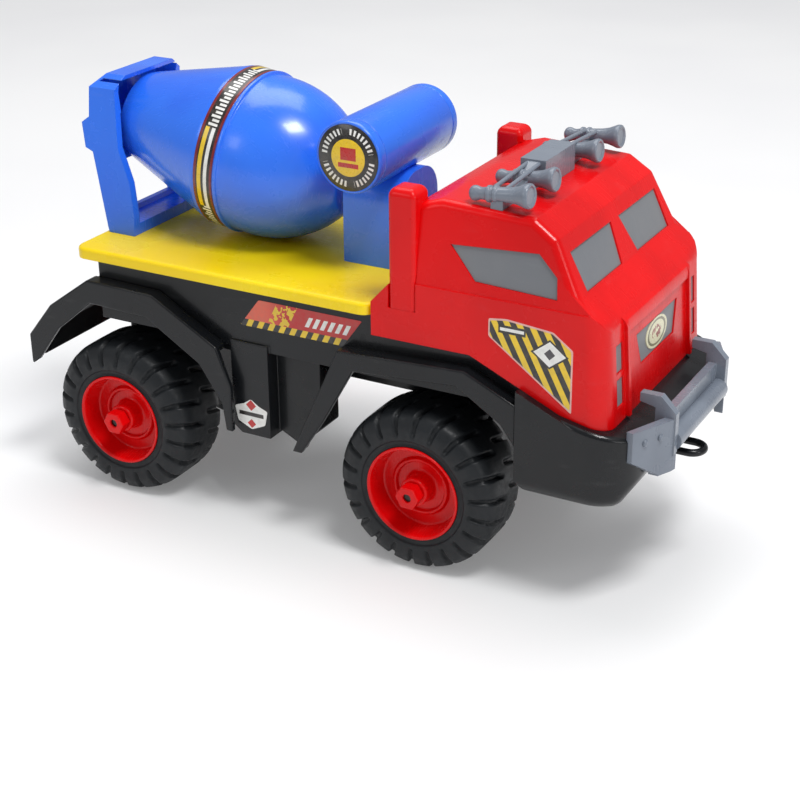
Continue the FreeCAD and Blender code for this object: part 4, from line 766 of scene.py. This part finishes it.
def grille_print():
    """Pale oval badge with a darker ring and a warm smudge in the middle."""
    g = flat_print("grille_print", 0.3)
    wide = g.maths("DIVIDE", g.x, BADGE_WIDE * MM)
    tall = g.maths("DIVIDE", g.y, BADGE_TALL * MM)
    out = g.maths("SQRT", g.maths("ADD", g.maths("MULTIPLY", wide, wide),
                                  g.maths("MULTIPLY", tall, tall)))
    smudge = g.maths("MULTIPLY", g.maths("LESS_THAN", out, 0.45),
                     g.maths("GREATER_THAN", g.noise(330, 2), 0.52))
    face = g.mix(g.inside(out, 0.72, 0.86), BADGE_CREAM, BADGE_OLIVE)
    return aged(g, g.mix(smudge, face, BADGE_RUST))


def front_plane(node):
    """Middle and normal of a plate's outer face at the front of the cab."""
    data = frame["nodes"][node].data
    facing = [p for p in data.polygons if p.normal.x > 0.5]
    area = sum(p.area for p in facing)
    middle = sum((p.center * p.area for p in facing), Vector()) / area
    normal = sum((p.normal * p.area for p in facing), Vector()).normalized()
    return middle, normal


def labels():
    """Films on the tray, the cab and the boxes on both sides, and the grille's badge."""
    edge_film = aged(flat_print("label_edge_film", 0.3), FILM_EDGE_PINK)
    shield = shield_print()
    for name, side in SIDES:
        label("tray_label_" + name, mirrored(TRAY_LABEL, side), side_place(*TRAY_SPOT, side),
              tray_print(side))
        cab = side_place(*CAB_SPOT, side)
        label("cab_label_edge_" + name, mirrored(CAB_LABEL_EDGE, side), cab, edge_film)
        label("cab_label_" + name, mirrored(CAB_LABEL, side), cab, cab_print(side),
              TOP_FILM_LIFT, TOP_FILM_THICK)
        label("box_label_" + name, BOX_LABEL, side_place(*BOX_SPOT, side), shield)
    middle, normal = front_plane("grille_panel")
    up = Vector((0, 0, 1)) - normal * normal.z
    turns = [2 * math.pi * step / BADGE_POINTS for step in range(BADGE_POINTS)]
    oval = [(BADGE_WIDE * math.cos(turn), BADGE_TALL * math.sin(turn)) for turn in turns]
    label("grille_badge", oval, plane_matrix(middle, (0, 1, 0), up), grille_print(),
          thick=BADGE_THICK)


# ------------------------------------------------------------------ roof horns and bumper

# (along, out) in mm: ball end, tube with two rings, flared bell and its closed mouth.
HORN_PROFILE = [
    (0, 0), (0.4, 2.6), (1.8, 4.0), (3.8, 4.2), (5.6, 3.5), (7, 3.2), (10.2, 3.6), (10.7, 4.6),
    (12.3, 4.6), (12.8, 3.9), (14.2, 3.9), (14.7, 4.6), (16.3, 4.6), (16.8, 3.9), (23, 4.1),
    (27.5, 4.7), (31, 5.9), (33.4, 6.8), (35.2, 6.7), (35.8, 5.9), (35.4, 5.0), (34.8, 4.6),
    (34.8, 0),
]
HORN_SPOTS = (62, 30, -30, -62)
HORN_HEIGHT = 227 * MM
HORN_LIFT = math.radians(5)
HORN_SEGMENTS = 72


def horns():
    """Four turned trumpets that point forward and slightly up."""
    low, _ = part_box("air_horns")
    smooth = softened(scaled(HORN_PROFILE), 0.8 * MM, 4, closed=False)
    aim = (math.cos(HORN_LIFT), 0, math.sin(HORN_LIFT))
    for index, across in enumerate(HORN_SPOTS):
        origin = (low[0] + 0.4 * MM, across * MM, HORN_HEIGHT)
        piece = turned("air_horn_%d" % (index + 1), smooth, axis_frame(origin, aim),
                       HORN_SEGMENTS, closed=False)
        coat(piece, "silver_plastic", "chassis", ["air_horns"])


ROD_RADIUS = 1.2 * MM
ROD_OFFSET = 3.4 * MM
ROD_SEGMENTS = 24


def rail_rods():
    """Two thin rods on each side, from the top of the rail's block to the outer horn."""
    low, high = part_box("horn_rail")
    middle = (low[0] + high[0]) / 2
    for name, side in SIDES:
        for index, ahead in enumerate((-ROD_OFFSET, ROD_OFFSET)):
            start = Vector((middle + ahead, side * 18 * MM, high[2] - 2.2 * MM))
            end = Vector((middle + ahead, side * 61 * MM, high[2] - 4.6 * MM))
            reach = (end - start).length
            rod = [(0, 0), (0, ROD_RADIUS), (reach, ROD_RADIUS), (reach, 0)]
            piece = turned("rail_rib_%s_%d" % (name, index + 1),
                           softened(rod, 0.5 * MM, 3, closed=False),
                           axis_frame(start, end - start), ROD_SEGMENTS, closed=False)
            coat(piece, "silver_plastic", "chassis")


def islands(mesh):
    """The points of each separate solid in a mesh, in the order of their first vertices."""
    seen = set()
    found = []
    for start in mesh.verts:
        if start.index in seen:
            continue
        stack, points = [start], []
        while stack:
            vert = stack.pop()
            if vert.index in seen:
                continue
            seen.add(vert.index)
            points.append(vert.co.copy())
            stack += [edge.other_vert(vert) for edge in vert.link_edges]
        found.append(points)
    return found


BOLT_SEGMENTS = 40


def bolts():
    """A domed head in place of each stud on the bumper's wings."""
    mesh = bmesh.new()
    mesh.from_mesh(frame["nodes"]["bumper_studs"].data)
    bmesh.ops.remove_doubles(mesh, verts=mesh.verts, dist=0.01 * MM)
    for index, points in enumerate(islands(mesh)):
        low = Vector([min(point[axis] for point in points) for axis in range(3)])
        high = Vector([max(point[axis] for point in points) for axis in range(3)])
        spot = Vector((low.x, (low.y + high.y) / 2, (low.z + high.z) / 2))
        reach = high.x - low.x
        dome = [(0, 2.2 * MM), (reach * 0.55, 2.15 * MM), (reach * 0.9, 1.2 * MM), (reach, 0)]
        piece = turned("bumper_bolt_%d" % (index + 1), softened(dome, 0.7 * MM, 4, closed=False),
                       axis_frame(spot, (1, 0, 0)), BOLT_SEGMENTS, closed=False)
        coat(piece, "silver_plastic", "chassis", ["bumper_studs"])
    mesh.free()


# ------------------------------------------------------------------ pieces shaped by the CAD

# Each node's edge rounding in mm.
MOULDINGS = {
    "chassis_tub": 0.8, "rear_apron": 0.9, "front_valance": 1.6, "deck": 0.4, "cab_shell": 1.0,
    "drum_frame": 0.8, "drum_pedestal": 0.8, "front_bumper": 0.6, "horn_rail": 0.6,
    "grille_panel": 0.25, "bumper_roll": 0.8,
}
MUDGUARD_ROUNDING = 0.9
STACK_ROUNDING = 0.4
PANE_ROUNDING = 0.25


def mouldings():
    widths = dict(MOULDINGS)
    for name, _ in SIDES:
        for end in AXLES:
            widths["mudguard_%s_%s" % (end, name)] = MUDGUARD_ROUNDING
        widths["exhaust_stack_" + name] = STACK_ROUNDING
        for pane in ("windscreen_", "side_window_", "headlamp_lower_", "headlamp_upper_"):
            widths[pane + name] = PANE_ROUNDING
    for node, width in widths.items():
        moulded(node, width)
    for node in ("tow_hook", "deck_screws", "cab_screws", "mixer_screws"):
        recoat(node)


# ------------------------------------------------------------------ studio

FLOOR_HALF = 6.0
LIGHT_AIM = (0, 0, 0.12)
LIGHT_SHAPE = 0.7
# Name, place, width in m and power in W.
LIGHTS = (
    ("soft_key", (0.75, -0.35, 1.85), 0.6, 22),
    ("soft_side", (-0.9, -1.3, 1.0), 0.6, 2.2),
    ("soft_front", (1.8, -0.5, 0.8), 0.7, 4.5),
    ("soft_top", (-0.5, 0.7, 2.3), 1.9, 27),
)
AIR_COLOUR = (0.96, 0.97, 1.0, 1.0)
AIR_STRENGTH = 0.36


def floor():
    """A wide pale sheet under the truck."""
    mesh = bmesh.new()
    corners = [mesh.verts.new((across * FLOOR_HALF, along * FLOOR_HALF, 0))
               for across, along in ((-1, -1), (1, -1), (1, 1), (-1, 1))]
    mesh.faces.new(corners)
    piece = from_bmesh(mesh, "studio_floor")
    g = Graph("studio_paper")
    tone = g.ramp(g.noise(3, 2), 0.3, 0.7, 0.0, 1.0)
    g.link(g.mix(tone, PAPER, PALE_PAPER), g.shader.inputs["Base Color"])
    g.shader.inputs["Roughness"].default_value = 0.8
    g.shader.inputs["Emission Color"].default_value = (1.0, 1.0, 1.0, 1.0)
    g.shader.inputs["Emission Strength"].default_value = 0.15
    piece.data.materials.append(g.material)


def light(name, spot, wide, power):
    """A rectangular lamp that faces the truck."""
    data = bpy.data.lights.new(name, "AREA")
    data.shape = "RECTANGLE"
    data.size = wide
    data.size_y = wide * LIGHT_SHAPE
    data.energy = power
    lamp = bpy.data.objects.new(name, data)
    lamp.location = spot
    aim = Vector(LIGHT_AIM) - Vector(spot)
    lamp.rotation_euler = aim.to_track_quat("-Z", "Y").to_euler()
    bpy.context.scene.collection.objects.link(lamp)


def studio():
    floor()
    for name, spot, wide, power in LIGHTS:
        light(name, spot, wide, power)
    world = bpy.data.worlds.new("studio_air")
    world.use_nodes = True
    background = world.node_tree.nodes["Background"]
    background.inputs["Color"].default_value = AIR_COLOUR
    background.inputs["Strength"].default_value = AIR_STRENGTH
    bpy.context.scene.world = world


CAMERA_PLACE = (0.45954, -0.80846, 0.49763)
CAMERA_AZIMUTH = math.radians(28.93)
CAMERA_ELEVATION = math.radians(25.164)
CAMERA_ROLL = math.radians(-0.447)
CAMERA_LENS, CAMERA_SENSOR = 74.3, 36


def camera():
    """The view from the front right and above, level but for a slight roll."""
    level = math.cos(CAMERA_ELEVATION)
    back = Vector((math.sin(CAMERA_AZIMUTH) * level, -math.cos(CAMERA_AZIMUTH) * level,
                   math.sin(CAMERA_ELEVATION)))
    right = Vector((math.cos(CAMERA_AZIMUTH), math.sin(CAMERA_AZIMUTH), 0))
    up = back.cross(right)
    rolled_right = right * math.cos(CAMERA_ROLL) + up * math.sin(CAMERA_ROLL)
    rolled_up = up * math.cos(CAMERA_ROLL) - right * math.sin(CAMERA_ROLL)
    data = bpy.data.cameras.new("product_camera")
    data.lens = CAMERA_LENS
    data.sensor_width = CAMERA_SENSOR
    eye = bpy.data.objects.new("product_camera", data)
    turn = Matrix((rolled_right, rolled_up, back)).transposed().to_4x4()
    eye.matrix_world = Matrix.Translation(CAMERA_PLACE) @ turn
    bpy.context.scene.collection.objects.link(eye)
    bpy.context.scene.camera = eye


camera()
studio()
wheels()
drum()
tank()
mouldings()
horns()
rail_rods()
bolts()
labels()
bpy.context.scene.view_settings.view_transform = "Standard"
